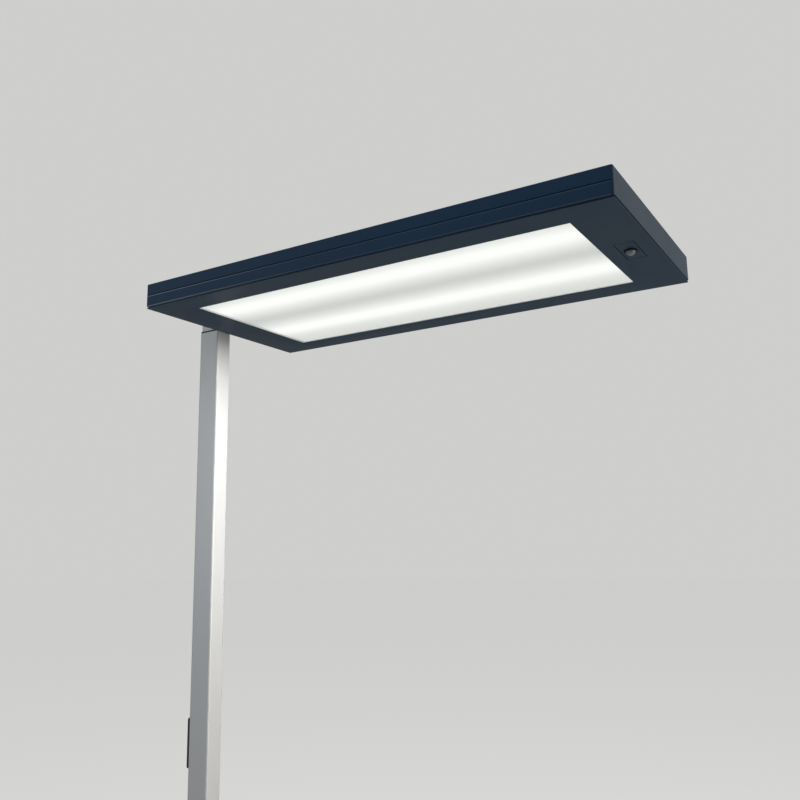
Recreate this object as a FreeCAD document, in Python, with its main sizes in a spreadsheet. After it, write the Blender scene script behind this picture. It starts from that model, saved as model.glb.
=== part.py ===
import FreeCAD, Part
import Sketcher
import os
import re

# An office floor lamp: a flat direct and indirect head for two long compact fluorescent lamps, held at
# its end by a rectangular post on a flat base plate.
# +X runs along the head from the post to the sensor, +Z is up, and the floor is Z = 0. The origin is the
# bottom centre of the lamp's own box. All sizes are in millimetres.

doc = FreeCAD.newDocument("OfficeFloorLamp")
sizes = doc.addObject("Spreadsheet::Sheet", "Sizes")

driving = [
    # whole lamp
    ("overallTall", 1950, "floor to the top of the head"),
    ("fitGap", 0.3, "running gap between pieces that slide into each other"),
    ("screwGap", 0.1, "gap round a screw or stud in its hole"),
    ("over", 1, "how far a cut runs past the face that it opens"),
    # base
    ("baseLong", 520, "base plate along X"),
    ("baseWide", 320, "base plate along Y"),
    ("baseThick", 10, "base plate thickness"),
    ("baseCorner", 14, "corner radius of the base plate"),
    ("baseBevel", 1.2, "bevel on the upper edge of the base plate"),
    ("baseBack", 100, "post axis to the back edge of the base plate"),
    ("glideTall", 3, "glides below the base plate"),
    ("glideRadius", 14, "radius of a glide"),
    ("glideInset", 30, "glide centre to the edges of the base plate"),
    ("footTall", 40, "block inside the bottom of the post"),
    ("footScrewPitch", 20, "distance between the two base screws"),
    ("footScrewRadius", 4, "base screw shank"),
    ("footScrewHead", 7.5, "base screw head radius"),
    ("footScrewBite", 22, "base screw length inside the foot block"),
    ("footScrewSpare", 2, "screw hole beyond the end of the base screw"),
    ("hexRadius", 2.5, "hexagon socket of the base screws, across flats / 2"),
    # post
    ("postDepth", 40, "post along X"),
    ("postWide", 30, "post along Y"),
    ("postWall", 2, "post wall"),
    ("postCorner", 3, "outer corner radius of the post"),
    ("inletHigh", 60, "inlet axis above the base plate"),
    ("inletBore", 4, "bore radius of the inlet grommet"),
    ("inletNeck", 6.5, "grommet radius in the post wall"),
    ("inletFlange", 9, "grommet flange radius"),
    ("inletLip", 2, "grommet flange thickness"),
    ("mainsRise", 20, "inlet axis up to the mains terminal"),
    ("mainsTall", 26, "mains terminal height"),
    ("mainsWide", 20, "mains terminal along Y"),
    ("mainsPitch", 6, "distance between its poles"),
    # joint between post and head
    ("headGap", 2.5, "post face to the end face of the head"),
    ("seamRise", 2.2, "bottom of the head up to the top of the post"),
    ("seamTall", 2.8, "black shim between post and bracket"),
    ("seamInset", 0.4, "shim inset from the post faces"),
    ("neckInset", 1.5, "bracket neck inset from the post faces"),
    ("neckDrop", 2, "top of the bracket neck below the top of the head"),
    ("plugLong", 62, "bracket plug inside the post"),
    ("armLong", 105, "bracket arm inside the head, from the end face"),
    ("armWide", 26, "bracket arm along Y"),
    ("armThick", 7.5, "bracket arm thickness"),
    ("boreRadius", 8.5, "cable bore through the bracket"),
    ("clampRadius", 3, "clamp screw radius"),
    ("armScrewRadius", 2, "arm screw shank radius"),
    ("armScrewHead", 3.5, "arm screw head, across flats / 2"),
    ("armScrewHeadTall", 4, "arm screw head height"),
    ("armScrewPitch", 19, "distance between the arm screws along Y"),
    ("armScrewInset", 16, "arm screws to the cap and to the arm's end"),
    ("lidThick", 1.5, "lid on the bracket"),
    # leads
    ("leadRadius", 3.2, "supply lead"),
    ("wireRadius", 1.7, "control lead"),
    ("bendRadius", 13, "bend of the leads inside the bracket"),
    ("supplyOff", 2.4, "supply lead to the middle of the post along Y"),
    ("controlOff", 3.9, "control lead to the middle of the post along Y"),
    ("controlBack", 4, "control lead to the middle of the post along X"),
    ("plugWide", 7, "plug of the control lead along Y"),
    ("plugTall", 10, "height of that plug"),
    # control unit on the back of the post
    ("panelDrop", 650, "bottom of the head down to the middle of the panel"),
    ("panelTall", 74, "control panel along Z"),
    ("panelWide", 27, "control panel along Y"),
    ("panelProud", 4.5, "control panel in front of the post"),
    ("panelCorner", 3, "corner radius of the control panel"),
    ("panelFront", 2, "front wall of the control panel"),
    ("panelShell", 1.2, "side wall of the panel's box"),
    ("boxTall", 67, "panel box inside the post along Z"),
    ("boxWide", 19.4, "panel box inside the post along Y"),
    ("boxDeep", 8, "panel box depth inside the post face"),
    ("keyPitch", 21, "distance between the buttons"),
    ("keyTall", 17, "button along Z"),
    ("keyWide", 13.6, "button along Y"),
    ("keyProud", 1, "button in front of the panel"),
    ("keyCorner", 1, "bevel on the corners of a button"),
    ("keyBevel", 0.4, "bevel round the face of a button"),
    ("keyLip", 0.9, "button flange beyond the button"),
    ("keyFlange", 1.2, "button flange thickness"),
    ("keyTravel", 0.8, "travel of a button"),
    ("keyGap", 0.2, "gap round a button"),
    ("keyStem", 2, "button stem radius"),
    ("switchSide", 6, "side of a switch on the board"),
    ("switchTall", 2.2, "height of a switch on the board"),
    ("plungerTall", 1, "plunger of a switch"),
    ("boardThick", 1.6, "circuit board thickness"),
    # head housing
    ("headLong", 715, "head along X"),
    ("headWide", 340, "head along Y"),
    ("headTall", 37.5, "head along Z"),
    ("wallThick", 2, "wall of the side profiles"),
    ("flangeWide", 12, "bottom flange of the side profiles"),
    ("flangeThick", 3.2, "thickness of that flange"),
    ("rebateTall", 1.8, "shadow gap between the bottom frame and the sides"),
    ("rebateDeep", 2.2, "depth of that gap"),
    ("edgeBevel", 0.6, "bevel along the outer edges"),
    ("grooveHigh", 20, "shadow groove above the bottom of the head"),
    ("grooveWide", 1.6, "shadow groove width"),
    ("grooveDeep", 1.4, "shadow groove depth"),
    ("rimWide", 6, "top rim of the side profiles"),
    ("ledgeWide", 14, "ledge that carries the top cover"),
    ("ledgeThick", 2, "ledge thickness"),
    ("coverThick", 3, "top cover thickness"),
    ("coverDrop", 0.4, "top cover below the rim"),
    ("coverGap", 0.5, "gap round the top cover"),
    ("capThick", 3, "end cap plate"),
    ("capCorner", 2.5, "vertical corner radius of the end caps"),
    ("capLedge", 8, "ledges on the inside of the end caps"),
    ("frameThick", 1, "bottom frame sheet"),
    ("frameInset", 0.5, "bottom frame inset from the outer faces"),
    ("windowEnd", 65, "end of the head to the window"),
    ("windowSide", 43, "side of the head to the window"),
    ("studRadius", 2, "weld studs"),
    ("studTall", 9, "weld stud height above its sheet"),
    ("nutSide", 3.5, "nut across flats / 2"),
    ("nutThick", 3, "nut thickness"),
    ("cleatLeg", 22, "leg of a corner cleat"),
    ("cleatThick", 2.5, "thickness of a corner cleat"),
    ("cleatTall", 18, "height of a corner cleat"),
    ("cleatRise", 2, "corner cleats above the bottom flange"),
    # light box over the window
    ("panelRest", 3, "diffuser panel thickness"),
    ("lightEnd", 12, "light box beyond the window along X"),
    ("lightSide", 20, "light box beyond the window along Y"),
    ("spacerWall", 3, "spacer frame wall"),
    ("spacerTall", 4.8, "spacer frame height"),
    ("sheetThick", 1.5, "light sheet thickness"),
    ("clipLong", 16, "sheet clip along X"),
    ("clipThick", 1, "sheet clip thickness"),
    ("clipReach", 9, "sheet clip over the light sheet"),
    # gear tray
    ("trayHalf", 43, "half the width of the gear tray"),
    ("trayThick", 1.2, "gear tray sheet"),
    ("trayFloor", 12, "underside of the gear tray above the bottom of the head"),
    ("trayTop", 30.4, "top of the gear tray flanges"),
    ("tabInner", 20, "tray end tab, inner edge"),
    ("tabOuter", 40, "tray end tab, outer edge"),
    ("ballastStart", 205, "ballast from the post end"),
    ("ballastLong", 360, "ballast along X"),
    ("ballastWide", 30, "ballast along Y"),
    ("ballastTall", 17, "ballast height"),
    ("ballastFoot", 16, "ballast mounting tab length"),
    ("ballastBevel", 2, "bevel on the ballast's upper edges"),
    ("smallScrew", 1.75, "ballast screw shank radius"),
    ("smallHead", 3.5, "ballast screw head, across flats / 2"),
    ("smallHeadTall", 2.4, "ballast screw head height"),
    ("gearLead", 1.4, "radius of the leads between the gear"),
    ("gearBend", 6, "bend of those leads"),
    ("lampLeadStart", 12, "lamp leads from the end of the ballast case"),
    ("lampLeadOut", 3, "straight lamp lead into the lampholder"),
    ("sensorLeadOff", 6, "sensor lead from the middle"),
    ("terminalStart", 130, "terminal block from the post end"),
    ("terminalLong", 24, "terminal block along X"),
    ("terminalWide", 44, "terminal block along Y"),
    ("terminalTall", 16.5, "terminal block height"),
    ("polePitch", 8.5, "distance between its poles"),
    ("poleBack", 7.2, "its screw wells from the ballast side"),
    ("poleRadius", 1.75, "radius of a screw well"),
    ("poleDeep", 4, "depth of its wells"),
    ("reflectorThick", 0.8, "side reflector sheet"),
    ("reflectorLip", 4, "upper lip of the side reflectors"),
    ("reflectorEnd", 2, "side reflectors to the corner cleats"),
    # lamps
    ("lampSpread", 65.5, "lamp axis from the middle of the head"),
    ("lampHigh", 22, "lamp axis above the bottom of the head"),
    ("lampPitch", 22, "distance between the two tubes of a lamp"),
    ("tubeRadius", 8.75, "lamp tube radius"),
    ("lampLong", 541, "lamp with its base"),
    ("socketLong", 26, "lampholder along X"),
    ("socketWide", 45, "lampholder along Y"),
    ("socketTall", 17, "lampholder height"),
    ("socketStep", 9, "step on the back of the lampholder along X"),
    ("socketDrop", 5, "height of that step"),
    ("plinthLong", 28, "lamp base along X"),
    ("plinthWide", 41, "lamp base along Y"),
    ("plinthTall", 16.5, "lamp base height"),
    ("plinthCorner", 3, "upright corner radius of the lamp base"),
    ("pinRadius", 1.2, "lamp pin radius"),
    ("pinLong", 7, "lamp pin length"),
    ("pinPitch", 10, "distance between the pins of a lamp"),
    ("bridgeRadius", 4, "bridge between the two tubes"),
    ("gripBack", 45, "lamp clip from the lamp's far end"),
    ("gripThick", 7, "lamp clip along X"),
    ("gripWall", 1, "lamp clip above the tubes"),
    ("gripDrop", 6, "lamp clip below the lamp axis"),
    ("gripMouth", 14, "mouth of the lamp clip under each tube"),
    # sensor
    ("sensorSlotX", 25.5, "sensor cut-out in the bottom frame along X"),
    ("sensorSlotY", 62, "sensor cut-out in the bottom frame along Y"),
    ("sensorLip", 2.5, "sensor face beyond its cut-out"),
    ("sensorFace", 1.5, "sensor face thickness"),
    ("sensorShell", 1.5, "sensor box wall"),
    ("sensorTall", 19, "sensor box height"),
    ("lensRadius", 6.5, "sensor lens radius"),
    ("lensDrop", 6.5, "straight part of the sensor lens below the bottom frame"),
    ("lensFlange", 9.5, "sensor lens flange radius"),
    ("lensLip", 1.2, "sensor lens flange thickness"),
    ("sensorGap", 0.9, "gap round the sensor face in its cut-out"),
    ("collarRadius", 10.5, "seat of the ring round the lens"),
    ("collarDeep", 1.5, "depth of the seat of the ring round the lens"),
    ("collarRise", 2.8, "how far the ring round the lens stands proud"),
    ("cellOff", 22, "light cell and status light from the lens axis"),
    ("cellRadius", 2.5, "light cell radius"),
    ("ledRadius", 1.5, "status light radius"),
    ("canRadius", 4.5, "detector can radius"),
    ("canTall", 4, "detector can height"),
]
for row, (alias, value, note) in enumerate(driving, 1):
    sizes.set(f"A{row}", note)
    sizes.set(f"B{row}", str(value))
    sizes.setAlias(f"B{row}", alias)
doc.recompute()
aliases = {alias for alias, value, note in driving}

# Places worked out from the sizes. Head pieces are drawn in the head's own axes, with x from the end face
# at the post, y from the middle and z from the underside. Post pieces are drawn round the post's axis.
postX = "((baseBack - postDepth / 2 - headGap - headLong) / 2)"
headX = f"({postX} + postDepth / 2 + headGap)"
headZ = "(overallTall - headTall)"
plateTop = "(glideTall + baseThick)"
coverLow = "(headTall - coverDrop - coverThick)"
ledgeLow = f"({coverLow} - ledgeThick)"
flangeTop = "(frameThick + flangeThick)"
lipLow = "(frameThick + rebateTall)"
windowLong = "(headLong - 2 * windowEnd)"
windowWide = "(headWide - 2 * windowSide)"
lightLong = f"({windowLong} + 2 * lightEnd + 2 * spacerWall)"
lightWide = f"({windowWide} + 2 * lightSide + 2 * spacerWall)"
lightX = "(windowEnd - lightEnd - spacerWall)"
spacerLow = "(frameThick + panelRest)"
sheetLow = f"({spacerLow} + spacerTall)"
sheetTop = f"({sheetLow} + sheetThick)"
clipTop = f"({sheetTop} + clipThick)"
trayWeb = "(trayFloor + trayThick)"
armTop = f"({trayWeb} + armThick)"
neckLow = "(seamRise + seamTall)"
neckTop = "(headTall - neckDrop)"
leadHigh = f"({armTop} + fitGap + leadRadius)"
wireHigh = f"({armTop} + fitGap + wireRadius)"
gearHigh = f"({trayWeb} + trayThick + fitGap + gearLead)"
leadEnd = "(postDepth / 2 + headGap + terminalStart)"
lampStart = "((headLong - lampLong - socketLong) / 2 + socketLong)"
socketMiddle = f"({lampStart} - socketLong / 2)"
terminalEnd = "(terminalStart + terminalLong)"
wellHigh = f"({trayWeb} + terminalTall / 3)"
sensorX = "(headLong - windowEnd / 2)"
panelZ = f"({headZ} - panelDrop)"
boardX = "(boxDeep - postDepth / 2)"
keyBack = "(panelFront - postDepth / 2 - panelProud)"
switchTop = f"({boardX} - switchTall - plungerTall)"
inPost = (postX, "0", "0")
atPanel = (postX, "0", panelZ)
inHead = (headX, "0", headZ)
atNeck = (postX, "0", headZ)
atSensor = (f"{headX} + {sensorX}", "0", f"{headZ} + frameThick")
boardRise = "(sensorFace + lensLip + fitGap + canTall)"
alongX = FreeCAD.Rotation(FreeCAD.Vector(0, 1, 0), 90)
alongY = FreeCAD.Rotation(FreeCAD.Vector(1, 0, 0), -90)
alongZ = FreeCAD.Rotation()
halfTurn = FreeCAD.Rotation(FreeCAD.Vector(0, 0, 1), 180)
studPlaces = ("headLong / 5", "headLong * 4 / 5")
studY = "(headWide / 2 - (flangeWide + wallThick) / 2)"
pinPlaces = (-1.5, -0.5, 0.5, 1.5)
armScrewPlaces = ("capThick + armScrewInset", "armLong - armScrewInset")
parts = []
drawnAt = {}


def bound(text):
    """The expression with each size's name pointing into the sheet."""
    return re.sub(r"[A-Za-z]\w*", lambda m: "Sizes." + m[0] if m[0] in aliases else m[0], text)


def value(text):
    """The number that an expression gives at the present sizes."""
    return float(sizes.evalExpression(bound(text)))


def place(item, at, turn=alongZ):
    """Puts an item at a point given by three expressions."""
    item.Placement = FreeCAD.Placement(FreeCAD.Vector(), turn)
    for axis, text in zip("xyz", at):
        item.setExpression(f"Placement.Base.{axis}", bound(text))
    drawnAt[item.Name] = at
    return item


def keep(item, label, at, turn=alongZ):
    """Makes an item a sub-part: the name of its file, and its place added to where it was drawn."""
    item.Label = label
    drawn = drawnAt.get(item.Name, ("0", "0", "0"))
    parts.append(place(item, [f"{start} + {low}" for start, low in zip(at, drawn)], turn))
    return item


def box(low, size):
    item = doc.addObject("Part::Box", "Block")
    for prop, text in zip(("Length", "Width", "Height"), size):
        item.setExpression(prop, bound(text))
    return place(item, low)


def rod(radius, tall, at, turn=alongZ):
    item = doc.addObject("Part::Cylinder", "Rod")
    item.setExpression("Radius", bound(radius))
    item.setExpression("Height", bound(tall))
    return place(item, at, turn)


def cone(low, high, tall, at):
    item = doc.addObject("Part::Cone", "Cone")
    item.setExpression("Radius1", bound(low))
    item.setExpression("Radius2", bound(high))
    item.setExpression("Height", bound(tall))
    return place(item, at)


def ball(radius, at, lower_only=False):
    item = doc.addObject("Part::Sphere", "Ball")
    item.setExpression("Radius", bound(radius))
    if lower_only:
        item.Angle2 = 0
    return place(item, at)


def prism(across, tall, at, turn=alongZ):
    """A hexagonal prism, across its flats."""
    item = doc.addObject("Part::Prism", "Hexagon")
    item.Polygon = 6
    item.setExpression("Circumradius", bound(f"({across}) / cos(30)"))
    item.setExpression("Height", bound(tall))
    return place(item, at, turn)


def fuse(items):
    item = doc.addObject("Part::MultiFuse", "Fusion")
    item.Shapes = items
    item.Refine = True
    return item


def cut(base, tools):
    item = doc.addObject("Part::Cut", "Cut")
    item.Base = base
    item.Tool = tools[0] if len(tools) == 1 else fuse(tools)
    return item


def group(items):
    """Several separate solids of one kind as one sub-part."""
    item = doc.addObject("Part::Compound", "Group")
    item.Links = items
    return item


def plane(body, role):
    return next(o for o in body.Origin.OriginFeatures if o.Role == role)


def sketch_on(body, role, rise="0"):
    """An empty sketch on one of the body's own planes, raised along its normal."""
    sketch = body.newObject("Sketcher::SketchObject", "Outline")
    sketch.AttachmentSupport = [(plane(body, role), "")]
    sketch.MapMode = "FlatFace"
    sketch.setExpression("AttachmentOffset.Base.z", bound(rise))
    return sketch


def hold(sketch, first, point, x, y):
    """Holds one point of a sketch at two expressions."""
    for kind, text in (("DistanceX", x), ("DistanceY", y)):
        at = sketch.addConstraint(Sketcher.Constraint(kind, -1, 1, first, point, value(text)))
        sketch.setExpression(f"Constraints[{at}]", bound(text))


def outline(sketch, corners):
    """A closed outline of straight lines through the given corners."""
    points = [FreeCAD.Vector(value(x), value(y), 0) for x, y in corners]
    start = sketch.GeometryCount
    for i, point in enumerate(points):
        sketch.addGeometry(Part.LineSegment(point, points[(i + 1) % len(points)]))
    for i, (x, y) in enumerate(corners):
        before = start + (i - 1) % len(corners)
        sketch.addConstraint(Sketcher.Constraint("Coincident", before, 2, start + i, 1))
        hold(sketch, start + i, 1, x, y)


def rectangle(sketch, low, high):
    outline(sketch, [low, (high[0], low[1]), high, (low[0], high[1])])


def circle(sketch, radius, x, y):
    centre = FreeCAD.Vector(value(x), value(y), 0)
    at = sketch.addGeometry(Part.Circle(centre, FreeCAD.Vector(0, 0, 1), value(radius)))
    held = sketch.addConstraint(Sketcher.Constraint("Radius", at, value(radius)))
    sketch.setExpression(f"Constraints[{held}]", bound(radius))
    hold(sketch, at, 3, x, y)


def new_body(name):
    return doc.addObject("PartDesign::Body", name)


def pad(body, sketch, length):
    item = body.newObject("PartDesign::Pad", "Pad")
    item.Profile = sketch
    item.setExpression("Length", bound(length))
    doc.recompute()
    return item


def pocket(body, sketch, length, reverse=False):
    """Cuts along the sketch's back, or along its normal where reverse is set."""
    before = body.Shape.Volume
    item = body.newObject("PartDesign::Pocket", "Pocket")
    item.Profile = sketch
    item.Reversed = reverse
    item.setExpression("Length", bound(length))
    doc.recompute()
    if body.Shape.Volume >= before:
        raise RuntimeError(f"a pocket in {body.Name} cuts nothing")
    return item


def dress(body, kind, size, chosen):
    """A fillet or chamfer on the edges that the test picks out."""
    base = body.Tip
    names = [f"Edge{i}" for i, edge in enumerate(base.Shape.Edges, 1) if chosen(edge)]
    item = body.newObject(f"PartDesign::{kind}", kind)
    item.Base = (base, names)
    item.setExpression("Radius" if kind == "Fillet" else "Size", bound(size))
    doc.recompute()
    return item


def runs(edge, axis):
    """True for a straight edge along the axis."""
    ends = [vertex.Point for vertex in edge.Vertexes]
    if len(ends) != 2:
        return False
    step = ends[1] - ends[0]
    return abs(abs(getattr(step, axis)) - step.Length) < 1e-6


def rounded_block(low, high, tall, corner, rise="0"):
    """A block with rounded upright edges, drawn from its lower face."""
    body = new_body("RoundedBlock")
    sketch = sketch_on(body, "XY_Plane", rise)
    rectangle(sketch, low, high)
    pad(body, sketch, tall)
    dress(body, "Fillet", corner, lambda edge: runs(edge, "z"))
    return body


# Base: a heavy plate on four glides, and a block that holds the post.

def base_plate():
    body = new_body("BasePlate")
    sketch = sketch_on(body, "XY_Plane")
    rectangle(sketch, ("-baseBack", "-baseWide / 2"), ("baseLong - baseBack", "baseWide / 2"))
    pad(body, sketch, "baseThick")
    dress(body, "Fillet", "baseCorner", lambda edge: runs(edge, "z"))
    dress(body, "Chamfer", "baseBevel", lambda edge: edge.BoundBox.ZMin > value("baseThick") - 0.01)
    holes = []
    for side in "-+":
        x = f"{side}footScrewPitch / 2"
        holes.append(rod("footScrewRadius + screwGap", "baseThick", (x, "0", "0")))
        holes.append(cone("footScrewHead + screwGap", "footScrewRadius + screwGap",
                          "footScrewHead - footScrewRadius", (x, "0", "0")))
    keep(cut(body, holes), "base_plate", (postX, "0", "glideTall"))


def base_glides():
    glides = []
    for x in ("glideInset - baseBack", "baseLong - baseBack - glideInset"):
        for side in "-+":
            y = f"{side}(baseWide / 2 - glideInset)"
            glides.append(rod("glideRadius", "glideTall", (x, y, "0")))
    keep(group(glides), "base_glides", inPost)


def post_foot():
    half_x = "(postDepth / 2 - postWall - fitGap)"
    half_y = "(postWide / 2 - postWall - fitGap)"
    block = rounded_block((f"-{half_x}", f"-{half_y}"), (half_x, half_y), "footTall", "postCorner - postWall")
    holes = [
        rod("footScrewRadius + screwGap", "footScrewBite + footScrewSpare",
            (f"{side}footScrewPitch / 2", "0", "0"))
        for side in "-+"
    ]
    keep(cut(block, holes), "post_foot", (postX, "0", plateTop))


def base_screws():
    screws = []
    for side in "-+":
        x = f"{side}footScrewPitch / 2"
        head = cone("footScrewHead", "footScrewRadius", "footScrewHead - footScrewRadius", (x, "0", "0"))
        shank = rod("footScrewRadius", "baseThick + footScrewBite", (x, "0", "0"))
        socket = prism("hexRadius", "footScrewHead / 2", (x, "0", "0"))
        screws.append(cut(fuse([head, shank]), [socket]))
    keep(group(screws), "base_screws", (postX, "0", "glideTall"))


# Post: a rectangular tube with the mains inlet low on its back.

def post_tube():
    body = new_body("PostTube")
    sketch = sketch_on(body, "XY_Plane", plateTop)
    rectangle(sketch, ("-postDepth / 2", "-postWide / 2"), ("postDepth / 2", "postWide / 2"))
    rectangle(sketch, ("postWall - postDepth / 2", "postWall - postWide / 2"),
              ("postDepth / 2 - postWall", "postWide / 2 - postWall"))
    pad(body, sketch, f"{headZ} + seamRise - {plateTop}")
    outer = value("postDepth / 2")
    dress(body, "Fillet", "postCorner",
          lambda edge: runs(edge, "z") and abs(edge.CenterOfMass.x) > outer - 0.1)
    inner = value("postDepth / 2 - postWall")
    dress(body, "Fillet", "postCorner - postWall",
          lambda edge: runs(edge, "z") and abs(abs(edge.CenterOfMass.x) - inner) < 0.01
          and abs(edge.CenterOfMass.y) < value("postWide / 2 - postWall") + 0.01)
    back, through = "-postDepth / 2 - over", "postWall + 2 * over"
    window = box((back, "-boxWide / 2 - fitGap", f"{panelZ} - boxTall / 2 - fitGap"),
                 (through, "boxWide + 2 * fitGap", "boxTall + 2 * fitGap"))
    inlet = rod("inletNeck + screwGap", through, (back, "0", f"{plateTop} + inletHigh"), alongX)
    clamps = [
        rod("clampRadius + screwGap", through, (back, "0", f"{headZ} - {drop}"), alongX)
        for drop in ("plugLong / 4", "plugLong * 3 / 4")
    ]
    keep(cut(body, [window, inlet] + clamps), "post_tube", inPost)


def inlet_grommet():
    back = "-postDepth / 2"
    outside = rod("inletFlange", "inletLip", (f"{back} - inletLip", "0", "0"), alongX)
    neck = rod("inletNeck", "postWall", (back, "0", "0"), alongX)
    inside = rod("inletFlange", "inletLip", (f"{back} + postWall", "0", "0"), alongX)
    bore = rod("inletBore", "postWall + 2 * inletLip + 2 * over",
               (f"{back} - inletLip - over", "0", "0"), alongX)
    keep(cut(fuse([outside, neck, inside]), [bore]), "inlet_grommet",
         (postX, "0", f"{plateTop} + inletHigh"))


def inlet_terminal():
    """The three-pole block on the inner front wall, from which the supply lead rises."""
    inner = "(postDepth / 2 - postWall)"
    block = box(("-leadRadius", "-mainsWide / 2", "0"), (f"{inner} + leadRadius", "mainsWide", "mainsTall"))
    wells = []
    for pole in (-1, 0, 1):
        y = f"{pole} * mainsPitch"
        wells.append(rod("wireRadius", "mainsPitch", (f"{inner} / 2", y, "0")))
        wells.append(box(("-leadRadius", f"{y} - wireRadius", "mainsTall / 3 - wireRadius"),
                         ("mainsPitch", "2 * wireRadius", "2 * wireRadius")))
    keep(cut(block, wells), "inlet_terminal", (postX, "0", f"{plateTop} + inletHigh + mainsRise"))


# Bracket: plugs into the post over a black shim and carries the head on an arm.

def seam_shim():
    body = new_body("SeamShim")
    sketch = sketch_on(body, "XY_Plane", "seamRise")
    half_x, half_y = "(postDepth / 2 - seamInset)", "(postWide / 2 - seamInset)"
    rectangle(sketch, (f"-{half_x}", f"-{half_y}"), (half_x, half_y))
    inner_x, inner_y = "(postDepth / 2 - postWall)", "(postWide / 2 - postWall)"
    rectangle(sketch, (f"-{inner_x}", f"-{inner_y}"), (inner_x, inner_y))
    pad(body, sketch, "seamTall")
    dress(body, "Fillet", "postCorner - seamInset",
          lambda edge: runs(edge, "z") and abs(edge.CenterOfMass.x) > value(inner_x) + 0.1)
    keep(body, "post_top_shim", atNeck)


def head_bracket():
    neck_x, neck_y = "(postDepth / 2 - neckInset)", "(postWide / 2 - neckInset)"
    neck = rounded_block((f"-{neck_x}", f"-{neck_y}"), (neck_x, neck_y), f"{neckTop} - {neckLow}",
                         "postCorner - neckInset / 2", neckLow)
    plug_x, plug_y = "(postDepth / 2 - postWall - fitGap)", "(postWide / 2 - postWall - fitGap)"
    plug = rounded_block((f"-{plug_x}", f"-{plug_y}"), (plug_x, plug_y), f"plugLong + {neckLow}",
                         "postCorner - postWall", "-plugLong")
    arm = box(("0", "-armWide / 2", trayWeb), ("postDepth / 2 + headGap + armLong", "armWide", "armThick"))
    bore = rod("boreRadius", f"plugLong + {neckTop}", ("0", "0", "-plugLong"))
    trough = box(("0", "-boreRadius", armTop),
                 ("postDepth / 2 + over", "2 * boreRadius", f"{neckTop} - {armTop}"))
    holes = [
        rod("armScrewRadius + screwGap", "armThick",
            (f"postDepth / 2 + headGap + {x}", f"{side}armScrewPitch / 2", trayWeb))
        for x in armScrewPlaces for side in "-+"
    ]
    entry = box(("0", "-boreRadius", f"{leadHigh} - bendRadius"),
                ("bendRadius", "2 * boreRadius", f"{armTop} - {leadHigh} + bendRadius"))
    saddle = rod("bendRadius - leadRadius - fitGap", "2 * boreRadius",
                 ("bendRadius", "-boreRadius", f"{leadHigh} - bendRadius"), alongY)
    body = cut(fuse([neck, plug, arm]), [bore, trough, cut(entry, [saddle])] + holes)
    keep(body, "head_bracket", atNeck)


def bracket_lid():
    """The thin lid over the cable trough of the bracket neck."""
    half_x, half_y = "(postDepth / 2 - neckInset)", "(postWide / 2 - neckInset)"
    lid = rounded_block((f"-{half_x}", f"-{half_y}"), (half_x, half_y), "lidThick",
                        "postCorner - neckInset / 2", neckTop)
    keep(lid, "bracket_lid", atNeck)


def clamp_screws():
    screws = []
    for drop in ("plugLong / 4", "plugLong * 3 / 4"):
        body = rod("clampRadius", "postWall + fitGap", ("-postDepth / 2", "0", f"-{drop}"), alongX)
        socket = prism("clampRadius / 2", "postWall / 2", ("-postDepth / 2", "0", f"-{drop}"), alongX)
        screws.append(cut(body, [socket]))
    keep(group(screws), "clamp_screws", atNeck)


def arm_screws():
    screws = []
    for x in armScrewPlaces:
        for side in "-+":
            y = f"{side}armScrewPitch / 2"
            shank = rod("armScrewRadius", f"{armTop} - trayFloor", (x, y, "trayFloor"))
            head = prism("armScrewHead", "armScrewHeadTall", (x, y, armTop))
            screws.append(fuse([shank, head]))
    keep(group(screws), "arm_screws", inHead)


def quarter_ring(ring, radius, at, start):
    """A quarter of a ring in the XZ plane, counted from +X towards +Z."""
    bend = doc.addObject("Part::Torus", "Bend")
    bend.setExpression("Radius1", bound(ring))
    bend.setExpression("Radius2", bound(radius))
    bend.Angle3 = 90
    upright = FreeCAD.Rotation(FreeCAD.Vector(1, 0, 0), 90)
    return place(bend, at, upright * FreeCAD.Rotation(FreeCAD.Vector(0, 0, 1), start))


def supply_lead():
    """From the mains terminal up the post and over the bracket arm to the terminal block."""
    y, low = "-supplyOff", f"{plateTop} + inletHigh + mainsRise + mainsTall - {headZ}"
    rise = rod("leadRadius", f"{leadHigh} - bendRadius - ({low})", ("0", y, low))
    bend = quarter_ring("bendRadius", "leadRadius", ("bendRadius", y, f"{leadHigh} - bendRadius"), 90)
    level = rod("leadRadius", f"{leadEnd} - bendRadius", ("bendRadius", y, leadHigh), alongX)
    keep(fuse([rise, bend, level]), "supply_lead", atNeck)


def control_lead():
    """From the plug on the back of the control board up the post and over the arm to the terminal block."""
    x, y, low = "-controlBack", "controlOff", "(boxTall / 4 - panelDrop)"
    start = f"({boardX} + boardThick)"
    plug = box((start, f"{y} - plugWide / 2", f"{low} - plugTall"),
               (f"wireRadius - controlBack - {start}", "plugWide", "plugTall"))
    rise = rod("wireRadius", f"{wireHigh} - bendRadius - {low}", (x, y, low))
    bend = quarter_ring("bendRadius", "wireRadius", (f"{x} + bendRadius", y, f"{wireHigh} - bendRadius"), 90)
    level = rod("wireRadius", f"{leadEnd} - bendRadius - ({x})", (f"{x} + bendRadius", y, wireHigh), alongX)
    keep(fuse([plug, rise, bend, level]), "control_lead", atNeck)


# Control unit: a black panel with three sprung buttons, seen edge-on in the picture.

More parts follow.
